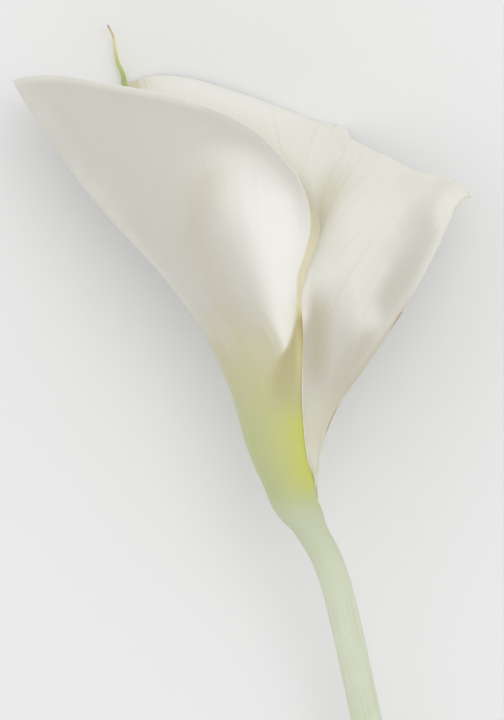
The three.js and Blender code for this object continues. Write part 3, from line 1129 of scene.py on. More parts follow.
@dataclass(frozen=True)
class FrontLobe:
    """The front lobe's outer face: a belly whitened by painted glow, a furrow of painted shade, and
    painted highlights along its outline and upper rim.
    """

    # The belly's painted glow stands in for light shining through the thin petal.
    belly: tuple[tuple[float, ...], ...] = (  # y, middle x, strength, reach to left and right
        (-6.0, 12.0, 0.3, 1.5, 2.5),
        (7.5, 10.2, 0.9, 3.8, 4.5),
        (18.0, 9.4, 1.0, 5.6, 9.0),
        (24.0, 9.0, 1.0, 6.8, 12.0),
        (36.0, 8.5, 1.0, 10.5, 11.0),
        (48.0, 5.5, 0.85, 14.5, 9.0),
        (60.0, -3.0, 0.45, 12.0, 8.0),
        (66.0, -8.0, 0.0, 8.0, 6.0),
    )
    belly_across: Span = (0.74, 0.84)
    belly_fall: float = 0.9  # how fast the white runs out, and how flat its middle is
    belly_flatness: float = 2.6
    # The furrow is a band of painted shade.
    furrow: float = 0.3
    furrow_line: Profile = (  # y, and the furrow's x there
        (0.0, 6.0), (6.0, 3.0), (12.0, -5.0), (24.0, -11.0), (38.0, -17.0), (57.0, -12.6))
    furrow_reach: float = 5.5
    furrow_foot_y: Span = (-2.0, 8.0)
    furrow_top_y: Span = (66.0, 52.0)
    furrow_across: Span = (0.74, 0.8)
    # Painted highlights along the outline and the upper rim.
    outline: float = 0.35
    outline_across: float = 0.70
    outline_reach: float = 0.035
    outline_y: Span = (0.0, 20.0)
    upper: float = 0.55
    upper_edge: Span = (4.0, 0.5)
    upper_across: Span = (0.6, 0.7)
    upper_x: Span = (-8.0, -20.0)

    def painted_glow_belly(self, sheet: Sheet, strip: np.ndarray) -> np.ndarray:
        """The belly of the lobe beside the inner margin, whitened by a painted glow of light
        through the petal.

        Args:
            sheet: The spathe's sheet.
            strip: The share of the strip beside the seam, which covers it.

        Returns:
            Its share, from 0 to 1.
        """
        heights, *columns = zip(*self.belly)
        middle, strength, left, right = (np.interp(sheet.y, heights, each) for each in columns)
        aside = np.abs(sheet.x - middle) / np.where(sheet.x < middle, left, right)
        white = strength * np.exp(-self.belly_fall * aside ** self.belly_flatness)
        return white * smoothstep(sheet.across, *self.belly_across) * (1 - strip)

    def shares(self, sheet: Sheet, belly: np.ndarray) -> Shares:
        """Its tints.

        Args:
            sheet: The spathe's sheet.
            belly: The share of its belly's painted glow.

        Returns:
            Their shares.
        """
        x, y, across = sheet.x, sheet.y, sheet.across
        # Painted highlights along the outline and the upper rim, painted shade in the furrow.
        outline = self.outline * bell(across, self.outline_across, self.outline_reach)
        outline = outline * smoothstep(y, *self.outline_y)
        upper = self.upper * smoothstep(sheet.edge, *self.upper_edge)
        upper = upper * smoothstep(across, *self.upper_across) * smoothstep(x, *self.upper_x)
        furrow = self.furrow * bell(x, profile(y, self.furrow_line), self.furrow_reach)
        furrow = furrow * smoothstep(y, *self.furrow_foot_y) * smoothstep(y, *self.furrow_top_y)
        return {
            Tint.WHITE: np.maximum(outline, upper),
            Tint.BRIGHT: belly,
            Tint.SHADE: furrow * smoothstep(across, *self.furrow_across),
        }


@dataclass(frozen=True)
class Tube:
    """The tube's outer face: olive from the bloom down, then green, and lime beside the seam."""

    across: Span = (ROLL - 0.01, ROLL + 0.08)  # the lapel keeps its white down to the foot
    all_round_y: Span = (-25.0, -34.0)
    olive_y: Span = (22.0, -6.0)
    belly_hides: float = 0.85  # how much of the olive the belly's painted glow hides
    green_y: Span = (4.0, -26.0)
    lime: float = 0.9
    lime_top_y: Span = (-6.0, -22.0)
    lime_foot_y: Span = (-48.0, -31.0)
    inner_seam_across: Span = (0.78, 0.95)
    outer_seam_across: Span = (0.14, 0.02)

    def shares(self, sheet: Sheet, belly: np.ndarray) -> Shares:
        """Its tints.

        Args:
            sheet: The spathe's sheet.
            belly: The share of the front lobe's belly glow, which is painted light.

        Returns:
            Their shares.
        """
        y, across = sheet.y, sheet.across
        tube = np.maximum(smoothstep(across, *self.across), smoothstep(y, *self.all_round_y))
        seam = np.maximum(smoothstep(across, *self.inner_seam_across),
                          smoothstep(across, *self.outer_seam_across))
        lime = self.lime * smoothstep(y, *self.lime_top_y) * smoothstep(y, *self.lime_foot_y)
        return {
            Tint.OLIVE: smoothstep(y, *self.olive_y) * tube * (1 - self.belly_hides * belly),
            Tint.GREEN: smoothstep(y, *self.green_y) * tube,
            Tint.LIME: lime * seam * tube,
        }


@dataclass(frozen=True)
class Throat:
    """The throat's inner face: golden in its depth and brightened there as painted glow, with a
    creamy painted shadow on its right wall.
    """

    behind_roll: Span = (0.05, 0.03)  # how far past the roll the gold begins, high and low
    behind_roll_y: Span = (14.0, 4.0)
    gold_width: float = 0.07  # the share across in which it comes in
    gold_along: Span = (0.66, 0.40)
    wall: float = 0.7  # the gold of the right wall
    wall_along: Span = (0.78, 0.60)
    wall_across: Span = (0.27, 0.33)
    wall_end_across: Span = (0.52, 0.46)
    shadow: float = 0.8
    shadow_along: Span = (0.87, 0.77)
    shadow_across: Span = (0.18, 0.25)
    shadow_rest: Span = (0.1, 1.0)  # what is left of it further in, and all of it
    shadow_rest_across: Span = (0.32, 0.26)

    def gold(self, sheet: Sheet) -> np.ndarray:
        """Where the throat is golden and brightened as a painted glow.

        Args:
            sheet: The spathe's sheet.

        Returns:
            The share, from 0 to 1.
        """
        across, along = sheet.across, sheet.along
        start = ROLL - lerp(*self.behind_roll, smoothstep(sheet.y, *self.behind_roll_y))
        depth = smoothstep(along, *self.gold_along)
        depth = depth * smoothstep(across, start, start + self.gold_width)
        wall = self.wall * smoothstep(along, *self.wall_along)
        wall = wall * smoothstep(across, *self.wall_across)
        return np.maximum(depth, wall * smoothstep(across, *self.wall_end_across))

    def shadowed(self, sheet: Sheet) -> np.ndarray:
        """Where the right wall lies in the roll's shadow.

        Args:
            sheet: The spathe's sheet.

        Returns:
            The share, from 0 to 1.
        """
        shadow = self.shadow * smoothstep(sheet.along, *self.shadow_along)
        shadow = shadow * smoothstep(sheet.across, *self.shadow_across)
        rest = lerp(*self.shadow_rest, smoothstep(sheet.across, *self.shadow_rest_across))
        return shadow * rest


@dataclass(frozen=True)
class Lapel:
    """The lapel's face, the sheet's inner one: painted highlights on its ridges, painted shade in
    its hollows and valley, cream below.
    """

    across: Span = (ROLL + 0.04, ROLL)
    # Painted shade, a greyer hollow, follows the outer margin.
    hollow: Span = (0.028, 0.06)  # the share across of its middle, low and high
    hollow_y: Span = (36.0, 48.0)
    hollow_reach: Span = (0.026, 0.042)  # the second is that of its inner side, high up
    hollow_reach_y: Span = (26.0, 38.0)
    grey: Span = (0.45, 0.9)  # high and low
    grey_y: Span = (52.0, 36.0)
    grey_rest: Span = (0.4, 1.0)  # what is left of it at the very edge, and away from it
    grey_rest_edge: Span = (0.3, 1.4)
    # A bump lifts out of the hollow's painted shade.
    bump: float = 0.8  # how much of the painted shade it loses
    bump_x: float = 36.0
    bump_x_reach: float = 3.6
    bump_y: float = 12.5
    bump_y_reach: float = 5.0
    # Two ridges of painted highlight run up it.
    whiteness: Profile = (  # y, and the white between the ridges there, painted light and shade
        (-32.0, 0.9), (-20.0, 0.5), (-6.0, 0.0), (8.0, 0.12), (26.0, 0.75))
    ridge_x: float = 36.0
    ridge_reach: float = 5.5
    ridge: Span = (0.4, 0.75)  # low and high
    ridge_y: Span = (2.0, 12.0)
    left_ridge: float = 0.6
    left_ridge_x: float = 15.6
    left_ridge_reach: float = 1.8
    left_ridge_y: Span = (8.0, 14.0)
    # A valley of painted shade lies between the ridges.
    valley: float = 0.8
    valley_x: float = 19.2
    valley_reach: float = 4.6
    valley_left_reach: Span = (4.6, 2.6)  # to its left, low and high
    valley_left_y: Span = (8.0, 14.0)
    valley_top_y: Span = (26.0, 12.0)
    valley_foot_y: Span = (-16.0, 2.0)
    # Painted shade darkens the lower half, most of all along the edge and in the hollow.
    painted_dimming: float = 0.2
    dimming_y: Span = (14.0, 2.0)
    dimming_at_edge: float = 0.4
    dimming_from_edge: Span = (3.0, 0.5)
    dimming_at_edge_y: Span = (22.0, 12.0)
    dimming_in_hollow: float = 0.25
    dimming_in_hollow_y: Span = (36.0, 24.0)
    dimming_foot_y: Span = (-26.0, -14.0)
    # Its rolled edge has a painted highlight, and its foot is cream.
    rolled: float = 0.55
    rolled_across: Span = (0.14, 0.175)
    rolled_end_across: Span = (0.26, 0.22)
    rolled_y: Span = (4.0, -8.0)
    cream_y: Span = (-4.0, -22.0)
    cream: Span = (0.45, 0.8)  # at the foot, and above it
    cream_foot_y: Span = (-32.0, -22.0)
    cream_rolled: float = 0.8  # how much of the cream the rolled edge loses

    def folded(self, sheet: Sheet) -> np.ndarray:
        """Where the sheet is folded out as the lapel."""
        return smoothstep(sheet.across, *self.across)

    def painted_hollow_shade(self, sheet: Sheet) -> np.ndarray:
        """The painted shade of the hollow beside the outer margin.

        Args:
            sheet: The spathe's sheet.

        Returns:
            Its share, from 0 to 1.
        """
        x, y, across = sheet.x, sheet.y, sheet.across
        middle = lerp(*self.hollow, smoothstep(y, *self.hollow_y))
        wider = lerp(*self.hollow_reach, smoothstep(y, *self.hollow_reach_y))
        reach = np.where(across > middle, wider, self.hollow_reach[0])
        grey = bell(across, middle, reach) * lerp(*self.grey, smoothstep(y, *self.grey_y))
        bump = bell(x, self.bump_x, self.bump_x_reach) * bell(y, self.bump_y, self.bump_y_reach)
        return grey * (1 - self.bump * bump)

    def white(self, sheet: Sheet) -> np.ndarray:
        """How white the inner face is, on the lapel and beyond it, with painted highlights on the
        ridges and painted shade in the hollow.

        Args:
            sheet: The spathe's sheet.

        Returns:
            The share, from 0 to 1.
        """
        x, y = sheet.x, sheet.y
        rest = lerp(*self.grey_rest, smoothstep(sheet.edge, *self.grey_rest_edge))
        ridge = bell(x, self.ridge_x, self.ridge_reach)
        ridge = ridge * lerp(*self.ridge, smoothstep(y, *self.ridge_y))
        left_ridge = self.left_ridge * bell(x, self.left_ridge_x, self.left_ridge_reach)
        left_ridge = left_ridge * smoothstep(y, *self.left_ridge_y)
        whitest = profile(y, self.whiteness) + np.maximum(ridge, left_ridge)
        return np.minimum(1 - self.painted_hollow_shade(sheet) * rest, lerp(1.0, whitest, self.folded(sheet)))

    def shade(self, sheet: Sheet) -> np.ndarray:
        """The painted shade in its valley and over its lower half.

        Args:
            sheet: The spathe's sheet.

        Returns:
            The share, from 0 to 1.
        """
        x, y = sheet.x, sheet.y
        left_reach = lerp(*self.valley_left_reach, smoothstep(y, *self.valley_left_y))
        reach = np.where(x < self.valley_x, left_reach, self.valley_reach)
        valley = self.valley * bell(x, self.valley_x, reach)
        valley = valley * smoothstep(y, *self.valley_top_y) * smoothstep(y, *self.valley_foot_y)
        near_edge = smoothstep(sheet.edge, *self.dimming_from_edge) * smoothstep(y, *self.dimming_at_edge_y)
        in_hollow = self.painted_hollow_shade(sheet) * smoothstep(y, *self.dimming_in_hollow_y)
        painted_dimming = self.painted_dimming * smoothstep(y, *self.dimming_y)
        painted_dimming = painted_dimming + self.dimming_at_edge * near_edge + self.dimming_in_hollow * in_hollow
        return np.maximum(valley, painted_dimming * smoothstep(y, *self.dimming_foot_y)) * self.folded(sheet)

    def rolled_edge(self, sheet: Sheet) -> np.ndarray:
        """Where the lapel's lower edge rolls over into the throat.

        Args:
            sheet: The spathe's sheet.

        Returns:
            The share, from 0 to 1.
        """
        rolled = smoothstep(sheet.across, *self.rolled_across)
        rolled = rolled * smoothstep(sheet.across, *self.rolled_end_across)
        return rolled * smoothstep(sheet.y, *self.rolled_y)

    def creamy(self, sheet: Sheet) -> np.ndarray:
        """The cream of its foot.

        Args:
            sheet: The spathe's sheet.

        Returns:
            The share, from 0 to 1.
        """
        cream = smoothstep(sheet.y, *self.cream_y)
        cream = cream * lerp(*self.cream, smoothstep(sheet.y, *self.cream_foot_y))
        return cream * self.folded(sheet) * (1 - self.cream_rolled * self.rolled_edge(sheet))


@dataclass(frozen=True)
class Spot:
    """A dry place on the outer margin."""

    middle: Point
    reach: float
    width: float  # how far it comes in from the edge


@dataclass(frozen=True)
class Margins:
    """What marks the sheet's rim and margins: painted highlight on the back rim and hook, tan and
    dry edges, and the sage foot.
    """

    bright: float = 0.6  # painted highlight of the back rim
    bright_edge: Span = (16.0, 3.0)
    bright_across: Span = (0.3, 0.42)
    hook_bright: float = 0.15
    hook_bright_distance: Span = (9.0, 3.0)
    tail_tan: float = 0.8
    tail_across: float = 0.558
    tail_reach: float = 0.022
    tail_edge: Span = (8.0, 1.0)
    hook_tan: float = 0.6
    hook_tan_distance: Span = (7.0, 3.0)
    hook_tan_edge: Span = (0.9, 0.2)
    sage_y: Span = (-38.0, -50.0)
    spots: tuple[Spot, ...] = (
        Spot(middle=(43.6, 12.5, 48.4), reach=4.2, width=0.8),
        Spot(middle=(24.0, -18.0, 52.0), reach=6.0, width=0.5),
    )
    spot_core: float = 0.4  # the share of a spot's reach in which it is whole
    spot_line: float = 0.3  # and of its width

    def painted_rim_highlight(self, sheet: Sheet) -> np.ndarray:
        """The painted highlight on the back rim and hook of the inner face.

        Args:
            sheet: The spathe's sheet.

        Returns:
            The share, from 0 to 1.
        """
        rim = self.bright * smoothstep(sheet.edge, *self.bright_edge)
        rim = rim * smoothstep(sheet.across, *self.bright_across)
        hook = smoothstep(sheet.distance(HOOK), *self.hook_bright_distance)
        return np.maximum(rim, self.hook_bright * hook)

    def tanned(self, sheet: Sheet) -> np.ndarray:
        """The tan streak that runs into the tail, and the hook's tan edge.

        Args:
            sheet: The spathe's sheet.

        Returns:
            The share, from 0 to 1.
        """
        streak = self.tail_tan * bell(sheet.across, self.tail_across, self.tail_reach)
        streak = streak * smoothstep(sheet.edge, *self.tail_edge)
        hook = self.hook_tan * smoothstep(sheet.distance(HOOK), *self.hook_tan_distance)
        return np.maximum(streak, hook * smoothstep(sheet.edge, *self.hook_tan_edge))

    def dried(self, sheet: Sheet) -> np.ndarray:
        """Where the outer margin has dried to a thin brown line.

        Args:
            sheet: The spathe's sheet.

        Returns:
            The share, from 0 to 1.
        """
        dry = np.zeros_like(sheet.edge)
        for spot in self.spots:
            near = smoothstep(sheet.distance(spot.middle), spot.reach, spot.reach * self.spot_core)
            line = smoothstep(sheet.edge, spot.width, spot.width * self.spot_line)
            dry = np.maximum(dry, near * line)
        return dry

    def shares(self, sheet: Sheet) -> Shares:
        """The tints that both faces have."""
        return {
            Tint.SAGE: smoothstep(sheet.y, *self.sage_y),
            Tint.TAN: self.tanned(sheet),
            Tint.DRY: self.dried(sheet),
        }


@dataclass(frozen=True)
class PetalTints:
    """The tints of both faces, area by area."""

    strip: SeamStrip = SeamStrip()
    lobe: FrontLobe = FrontLobe()
    tube: Tube = Tube()
    throat: Throat = Throat()
    lapel: Lapel = Lapel()
    margins: Margins = Margins()

    def outer(self, sheet: Sheet) -> Shares:
        """The outer face's tints.

        Args:
            sheet: The spathe's sheet.

        Returns:
            Their shares.
        """
        belly = self.lobe.painted_glow_belly(sheet, self.strip.place(sheet))
        return {
            **self.strip.shares(sheet),
            **self.lobe.shares(sheet, belly),
            **self.tube.shares(sheet, belly),
            **self.margins.shares(sheet),
        }

    def inner(self, sheet: Sheet) -> Shares:
        """The inner face's tints.

        Args:
            sheet: The spathe's sheet.

        Returns:
            Their shares.
        """
        # Painted highlights on the back rim, the hook and the rolled edge; painted shade on the
        # lapel and in the throat; painted glow in the gold.
        rolled = self.lapel.rolled * self.lapel.rolled_edge(sheet)
        return {
            Tint.WHITE: self.lapel.white(sheet),
            Tint.BRIGHT: np.maximum(self.margins.painted_rim_highlight(sheet), rolled),
            Tint.SHADE: self.lapel.shade(sheet),
            Tint.CREAM: np.maximum(self.lapel.creamy(sheet), self.throat.shadowed(sheet)),
            Tint.GOLD: self.throat.gold(sheet),
            **self.margins.shares(sheet),
        }


# ---- The spathe ----


@dataclass(frozen=True)
class Lift:
    """A place where the rim is drawn further up the flower than its lines say."""

    height: float
    middle: float  # its x
    reach: float
    onset: Span  # shares across, from none of it to all
    end: Span  # and from all of it to none

    def over(self, x: np.ndarray, across: np.ndarray) -> np.ndarray:
        """How far it draws the rim up."""
        drawn = self.height * bell(x, self.middle, self.reach)
        return drawn * smoothstep(across, *self.onset) * smoothstep(across, *self.end)


@dataclass(frozen=True)
class Dent:
    """A small round swelling of the lapel, or a dent where its height is below 0."""

    x: float
    y: float
    reach: float
    height: float


@dataclass
class Tail:
    """The drawn-out tip of the midrib, which stands out behind the rim."""

    line: tuple[Point, ...] = (
        (-31.5, 68, 5.2), (-34.6, 74.5, 1.3), (-36.6, 79, 0.7), (-38.4, 83, 1.3),
        (-39.2, 86.9, 2), (-40.7, 90.3, 2.6), (-41.6, 94.4, 3.4), (-42.2, 98.4, 3.8),
        (-43.9, 101.7, 4))
    root: float = 2.4  # its radius at the root, the neck and the tip
    neck: float = 1.25
    tip: float = 0.25
    narrowing: Span = (0.3, 0.47)  # shares of its length
    start: float = 0.1  # the share of its radius with which it grows out of the midrib
    start_until: float = 0.14  # the share of its length by which it has all of it
    point: float = 0.8  # how far the tip closes
    point_from: float = 0.985
    flatness: float = 0.7
    fluting: float = 0.06
    flutes: int = 3
    twist: float = 6.0  # how far the flutes wind round it, from root to tip
    steps: int = 110
    sides: int = 24

    def skin(self) -> MeshParts:
        """The tail as a closed mesh.

        Returns:
            The mesh, in the spathe's second material slot.
        """
        share = np.linspace(0, 1, self.steps)
        narrowed = smoothstep(share, *self.narrowing)
        radius = lerp(self.neck, self.tip, share) + (self.root - self.neck) * (1 - narrowed)
        radius = radius * lerp(self.start, 1.0, smoothstep(share, 0.0, self.start_until))
        radius = radius * np.sqrt(1 - self.point * smoothstep(share, self.point_from, 1.0))
        turns = self.flutes * circle(self.sides)[None, :] + self.twist * share[:, None]
        fluting = 1 + self.fluting * np.cos(turns)
        line = curve_through(self.line, self.steps)
        skin = rod(line, radius[:, None] * fluting, self.flatness)
        skin[..., 2] = np.maximum(skin[..., 2], 0.0)
        return rod_mesh(skin, rod_shares(share, self.sides), slot=1)


@dataclass
class Spathe:
    """The wrapped sheet with its pointed tail."""

    foot: Foot
    stem: Stem
    tail: Tail
    tints: PetalTints
    across_per_rib: int = 4
    along_per_point: int = 4
    rounds: int = 2  # how often the grid is divided again
    edge_steps: int = 4  # of the rounded edge, from face to face

    # The ring on which it stands, and the skirt that runs on over the stem.
    foot_radius: float = 7.0
    wrap_rise: float = 1.0  # how much further out the outer margin lies than the inner one
    stand_off: float = 0.1  # how far the outer margin stands off besides
    stand_off_turn: float = 0.05  # the share of a turn in which it comes back
    pinch: float = 0.9  # how much closer to the axis the foot lies on its right side
    skirt: tuple[tuple[float, float], ...] = (  # distances below the foot, and off the stem
        (9.0, -0.35), (7.0, -0.05), (4.5, 0.1), (2.5, 0.12), (1.0, 0.2))
    skirt_along: Span = (-0.08, -0.016)
    skirt_winds: float = 5.0  # how far below the foot the skirt still winds

    # The sheet's thickness at the tube, the rim, the margins and the skirt's end.
    tube: float = 1.1
    rim: float = 0.75
    margin: float = 0.65
    margin_across: Span = (0.1, 0.35)
    skirt_edge: float = 0.3
    skirt_edge_along: Span = (-0.06, 0.02)
    thinned: float = 0.6  # the share of it that is left at a free edge
    thinned_edge: Span = (0.0, 3.5)

    # The rim is drawn up to the left of its step, beside the tail and at the hook.
    rim_along: Span = (0.86, 1.0)
    step: Lift = Lift(height=1.25, middle=28.2, reach=4.6,
                      onset=(ROLL - 0.03, ROLL + 0.03), end=(0.45, 0.4))
    step_x: Span = (29.8, 28.6)  # where it drops
    beside_tail: Lift = Lift(height=1.5, middle=-34.5, reach=6.5,
                             onset=(0.46, 0.5), end=(0.64, 0.6))
    at_hook: Lift = Lift(height=1.4, middle=HOOK[0], reach=2.4,
                         onset=(-0.04, 0.0), end=(0.1, 0.06))

    # The lapel has a valley beside the roll, and small dents.
    lapel_across: Span = (ROLL + 0.02, ROLL - 0.03)
    valley: float = 0.8
    valley_x: float = 20.5
    valley_reach: float = 3.5
    valley_top_y: Span = (26.0, 12.0)
    valley_foot_y: Span = (-26.0, -4.0)
    dents: tuple[Dent, ...] = (
        Dent(36.6, 9.6, reach=1.3, height=-0.35),
        Dent(39.3, 9.0, reach=1.1, height=0.45),
        Dent(41.5, 20.0, reach=2.5, height=0.3),
    )

    # The margins are pressed together at the foot, and the inner one lies close above it.
    closes: Profile = ((-52.0, 0.3), (-44.0, 0.45), (-38.0, 0.75), (-33.0, 0.45), (-26.0, 0.0))
    inner_closes_across: Span = (0.88, 0.95)
    outer_closes_across: Span = (0.12, 0.05)
    tucks: Profile = ((-36.0, 0.0), (-22.0, 0.3), (0.0, 0.85), (16.0, 0.0))
    tuck_across: Span = (0.86, 0.935)

    def foot_radii(self) -> np.ndarray:
        """The distance of each rib from the axis, at the foot.

        Returns:
            The distances; the sheet winds inwards from its outer margin.
        """
        angles = np.array([rib.foot for rib in RIBS])
        turns = (angles[0] - angles) / 360
        winding = self.wrap_rise * (0.5 - turns)
        standing_off = self.stand_off * np.maximum(1 - turns / self.stand_off_turn, 0)
        pinched = self.pinch * np.maximum(np.cos(np.radians(angles)), 0) ** 2
        return self.foot_radius + winding + standing_off - pinched

    def skirt_rings(self, radii: np.ndarray) -> list[np.ndarray]:
        """Rings that run the sheet's foot on over the stem, so that they show as grown together.

        Args:
            radii: The ribs' distances from the axis at the foot.

        Returns:
            The rings' points by rib, from the lowest ring up.
        """
        angles = np.radians([rib.foot for rib in RIBS])[:, None]
        largest = self.foot_radius - self.tube / 2 + self.wrap_rise
        rings = []
        for below, proud in self.skirt:
            centre, right, up, radius = self.stem.section(below)
            winding = (radii - self.foot_radius) * max(1 - below / self.skirt_winds, 0.0)
            reach = np.minimum(radius + proud - self.skirt_edge / 2 + winding, largest)
            outward = np.cos(angles) * right + np.sin(angles) * up
            rings.append(centre + reach[:, None] * outward)
        return rings

    def sheet(self) -> Sheet:
        """The middle of the sheet, in rows from the skirt to the rim.

        Returns:
            The sheet.
        """
        radii = self.foot_radii()
        starts = [self.foot.point(rib.foot, radius, self.foot.gap)
                  for rib, radius in zip(RIBS, radii)]
        controls = np.array([[start, *rib.through] for start, rib in zip(starts, RIBS)], float)
        rows = (controls.shape[1] - 1) * self.along_per_point
        columns = (len(RIBS) - 1) * self.across_per_rib
        along, across = np.linspace(0, 1, rows + 1), np.linspace(0, 1, columns + 1)
        lines = centripetal(controls.swapaxes(0, 1), along)
        grid = centripetal(lines.swapaxes(0, 1), across).swapaxes(0, 1)
        skirt = [centripetal(low[:, None, :], across)[:, 0, :] for low in self.skirt_rings(radii)]
        along = np.concatenate([np.linspace(*self.skirt_along, len(skirt)), along])
        shares = np.stack(np.meshgrid(along, across, indexing="ij"), axis=-1)
        grid = np.concatenate([np.concatenate([skirt, grid]), shares], axis=-1)
        for _ in range(self.rounds):
            grid = subdivided(subdivided(grid, 0), 1)
        points, along, across = grid[..., :3], grid[..., 3], grid[..., 4]
        points[..., 1] += self.drawn_up(points[..., 0], across, along)
        return Sheet(points, across, along, self.edge_distance(points))

    def drawn_up(self, x: np.ndarray, across: np.ndarray, along: np.ndarray) -> np.ndarray:
        """How far the rim is drawn up.

        Args:
            x: How far to the right the sheet's points lie.
            across: Their shares across.
            along: Their shares along.

        Returns:
            The distances up the flower.
        """
        step = self.step.over(x, across) * smoothstep(x, *self.step_x)
        drawn = step + self.beside_tail.over(x, across) + self.at_hook.over(x, across)
        return drawn * smoothstep(along, *self.rim_along)

    @staticmethod
    def edge_distance(grid: np.ndarray) -> np.ndarray:
        """The distance of each point of the sheet from the nearest free edge.

        Args:
            grid: The points by row and column.

        Returns:
            The distances along the sheet.
        """
        across = np.linalg.norm(np.diff(grid, axis=1), axis=-1)
        along = np.linalg.norm(np.diff(grid, axis=0), axis=-1)
        from_outer = np.pad(np.cumsum(across, axis=1), ((0, 0), (1, 0)))
        travelled = np.pad(np.cumsum(along, axis=0), ((1, 0), (0, 0)))
        from_inner, from_rim = from_outer[:, -1:] - from_outer, travelled[-1:] - travelled
        return np.minimum(np.minimum(from_outer, from_inner), from_rim)

    def thickness(self, sheet: Sheet) -> np.ndarray:
        """Thickness of the sheet, which thins to its free edges.

        Args:
            sheet: The spathe's sheet.

        Returns:
            The thickness at each point.
        """
        body = lerp(self.tube, self.rim, np.clip(sheet.along, 0, 1))
        body = lerp(self.skirt_edge, body, smoothstep(sheet.along, *self.skirt_edge_along))
        from_margin = np.minimum(sheet.across, 1 - sheet.across)
        whole = lerp(self.margin, body, smoothstep(from_margin, *self.margin_across))
        return whole * lerp(self.thinned, 1.0, smoothstep(sheet.edge, *self.thinned_edge))

    def relief(self, sheet: Sheet) -> np.ndarray:
        """How far the sheet is pressed out by the lapel's valley and dents and where margins close.

        Args:
            sheet: The spathe's sheet.

        Returns:
            The distance at each point, towards the outer face.
        """
        x, y, across = sheet.x, sheet.y, sheet.across
        lapel = self.valley * bell(x, self.valley_x, self.valley_reach)
        lapel = lapel * smoothstep(y, *self.valley_top_y) * smoothstep(y, *self.valley_foot_y)
        for dent in self.dents:
            distance = np.hypot(x - dent.x, y - dent.y)
            lapel = lapel + dent.height * bell(distance, 0.0, dent.reach)
        inner = smoothstep(across, *self.inner_closes_across)
        outer = smoothstep(across, *self.outer_closes_across)
        tucked = smoothstep(across, *self.tuck_across) * profile(y, self.tucks)
        folded = smoothstep(across, *self.lapel_across)
        return lapel * folded + (inner - outer) * profile(y, self.closes) + tucked

    def blade(self) -> MeshParts:
        """The sheet as a closed mesh of two faces with a rounded edge between them.

        Returns:
            The mesh, with what the petal's finish reads.
        """
        flat = self.sheet()
        half = self.thickness(flat) / 2
        normal = unit(np.cross(np.gradient(flat.points, axis=1), np.gradient(flat.points, axis=0)))
        sheet = replace(flat, points=flat.points + normal * self.relief(flat)[..., None])
        ring = self.border(*half.shape)
        sides = self.both_faces(sheet, normal, half)
        beads = self.rounded_edge(sheet, normal, half, ring)
        values = {}
        for name, (outer, inner) in self.values(sheet).items():
            outer, inner = outer.ravel(), inner.ravel()
            middle = (outer[ring] + inner[ring]) / 2
            values[name] = np.concatenate([outer, inner, *[middle] * len(beads)])
        faces = self.faces(*half.shape, ring)
        return MeshParts(np.concatenate([*sides, *beads]), faces, values, [0] * len(faces))

    def both_faces(self, sheet: Sheet, normal: np.ndarray, half: np.ndarray) -> list[np.ndarray]:
        """The corners of the outer and of the inner face, kept above the floor.

        Args:
            sheet: The middle of the sheet.
            normal: The directions to its outer face.
            half: Half its thickness.

        Returns:
            The corners of each face.
        """
        sides = []
        for face in Face:
            side = sheet.points + normal * (half * face.value)[..., None]
            lowest = 0.0 if face is Face.OUTER else self.rim
            side[..., 2] = np.maximum(side[..., 2], lowest)
            sides.append(side.reshape(-1, 3))
        return sides

    def rounded_edge(self, sheet: Sheet, normal: np.ndarray, half: np.ndarray,
                     ring: np.ndarray) -> list[np.ndarray]:
        """The corners of the edge between the faces, in lines round the sheet.

        Args:
            sheet: The middle of the sheet.
            normal: The directions to its outer face.
            half: Half its thickness.
            ring: Corner numbers round its edge.

        Returns:
            The corners of each line, from the outer face to the inner one.
        """
        middle, out = sheet.points.reshape(-1, 3)[ring], normal.reshape(-1, 3)[ring]
        away = self.outward(sheet.points).reshape(-1, 3)[ring]
        reach = half.ravel()[ring][:, None]
        beads = []
        for step in range(1, self.edge_steps):
            share = step / self.edge_steps
            turn = math.pi * (0.5 - share)
            bead = middle + reach * (out * math.sin(turn) + away * math.cos(turn))
            bead[:, 2] = np.maximum(bead[:, 2], self.rim * share)
            beads.append(bead)
        return beads

    @staticmethod
    def border(rows: int, columns: int) -> np.ndarray:
        """The corner numbers round the sheet's edge: foot, inner margin, rim, outer margin.

        Args:
            rows: Rows of corners.
            columns: Columns of corners.

        Returns:
            The numbers, once round.
        """
        top = (rows - 1) * columns
        return np.concatenate([
            np.arange(columns - 1),
            np.arange(rows - 1) * columns + columns - 1,
            top + np.arange(columns - 1, 0, -1),
            np.arange(rows - 1, 0, -1) * columns,
        ])

    @staticmethod
    def outward(grid: np.ndarray) -> np.ndarray:
        """Unit vectors in the sheet that point out over its edge, at its edge.

        Args:
            grid: The points by row and column.

        Returns:
            The vectors, which are 0 away from the edge.
        """
        away = np.zeros_like(grid)
        away[0] += unit(grid[0] - grid[1])
        away[-1] += unit(grid[-1] - grid[-2])
        away[:, 0] += unit(grid[:, 0] - grid[:, 1])
        away[:, -1] += unit(grid[:, -1] - grid[:, -2])
        return unit(away)

    def faces(self, rows: int, columns: int, ring: np.ndarray) -> list[tuple[int, ...]]:
        """The quads of both faces and of the rounded edge.

        Args:
            rows: Rows of corners in each face.
            columns: Columns of corners in each face.
            ring: Corner numbers round the edge of the outer face.

        Returns:
            The corner numbers of each quad.
        """
        inner = rows * columns
        corner = np.arange((rows - 1) * columns).reshape(rows - 1, columns)[:, :-1].ravel()
        outer_quads = np.stack([corner, corner + 1, corner + columns + 1, corner + columns], axis=1)
        quads = [outer_quads, outer_quads[:, ::-1] + inner]
        beads = [2 * inner + step * len(ring) + np.arange(len(ring))
                 for step in range(self.edge_steps - 1)]
        lines = [ring, *beads, ring + inner]
        for near, far in zip(lines, lines[1:]):
            quads.append(np.stack([np.roll(near, -1), near, far, np.roll(far, -1)], axis=1))
        return [tuple(quad) for quad in np.concatenate(quads).tolist()]

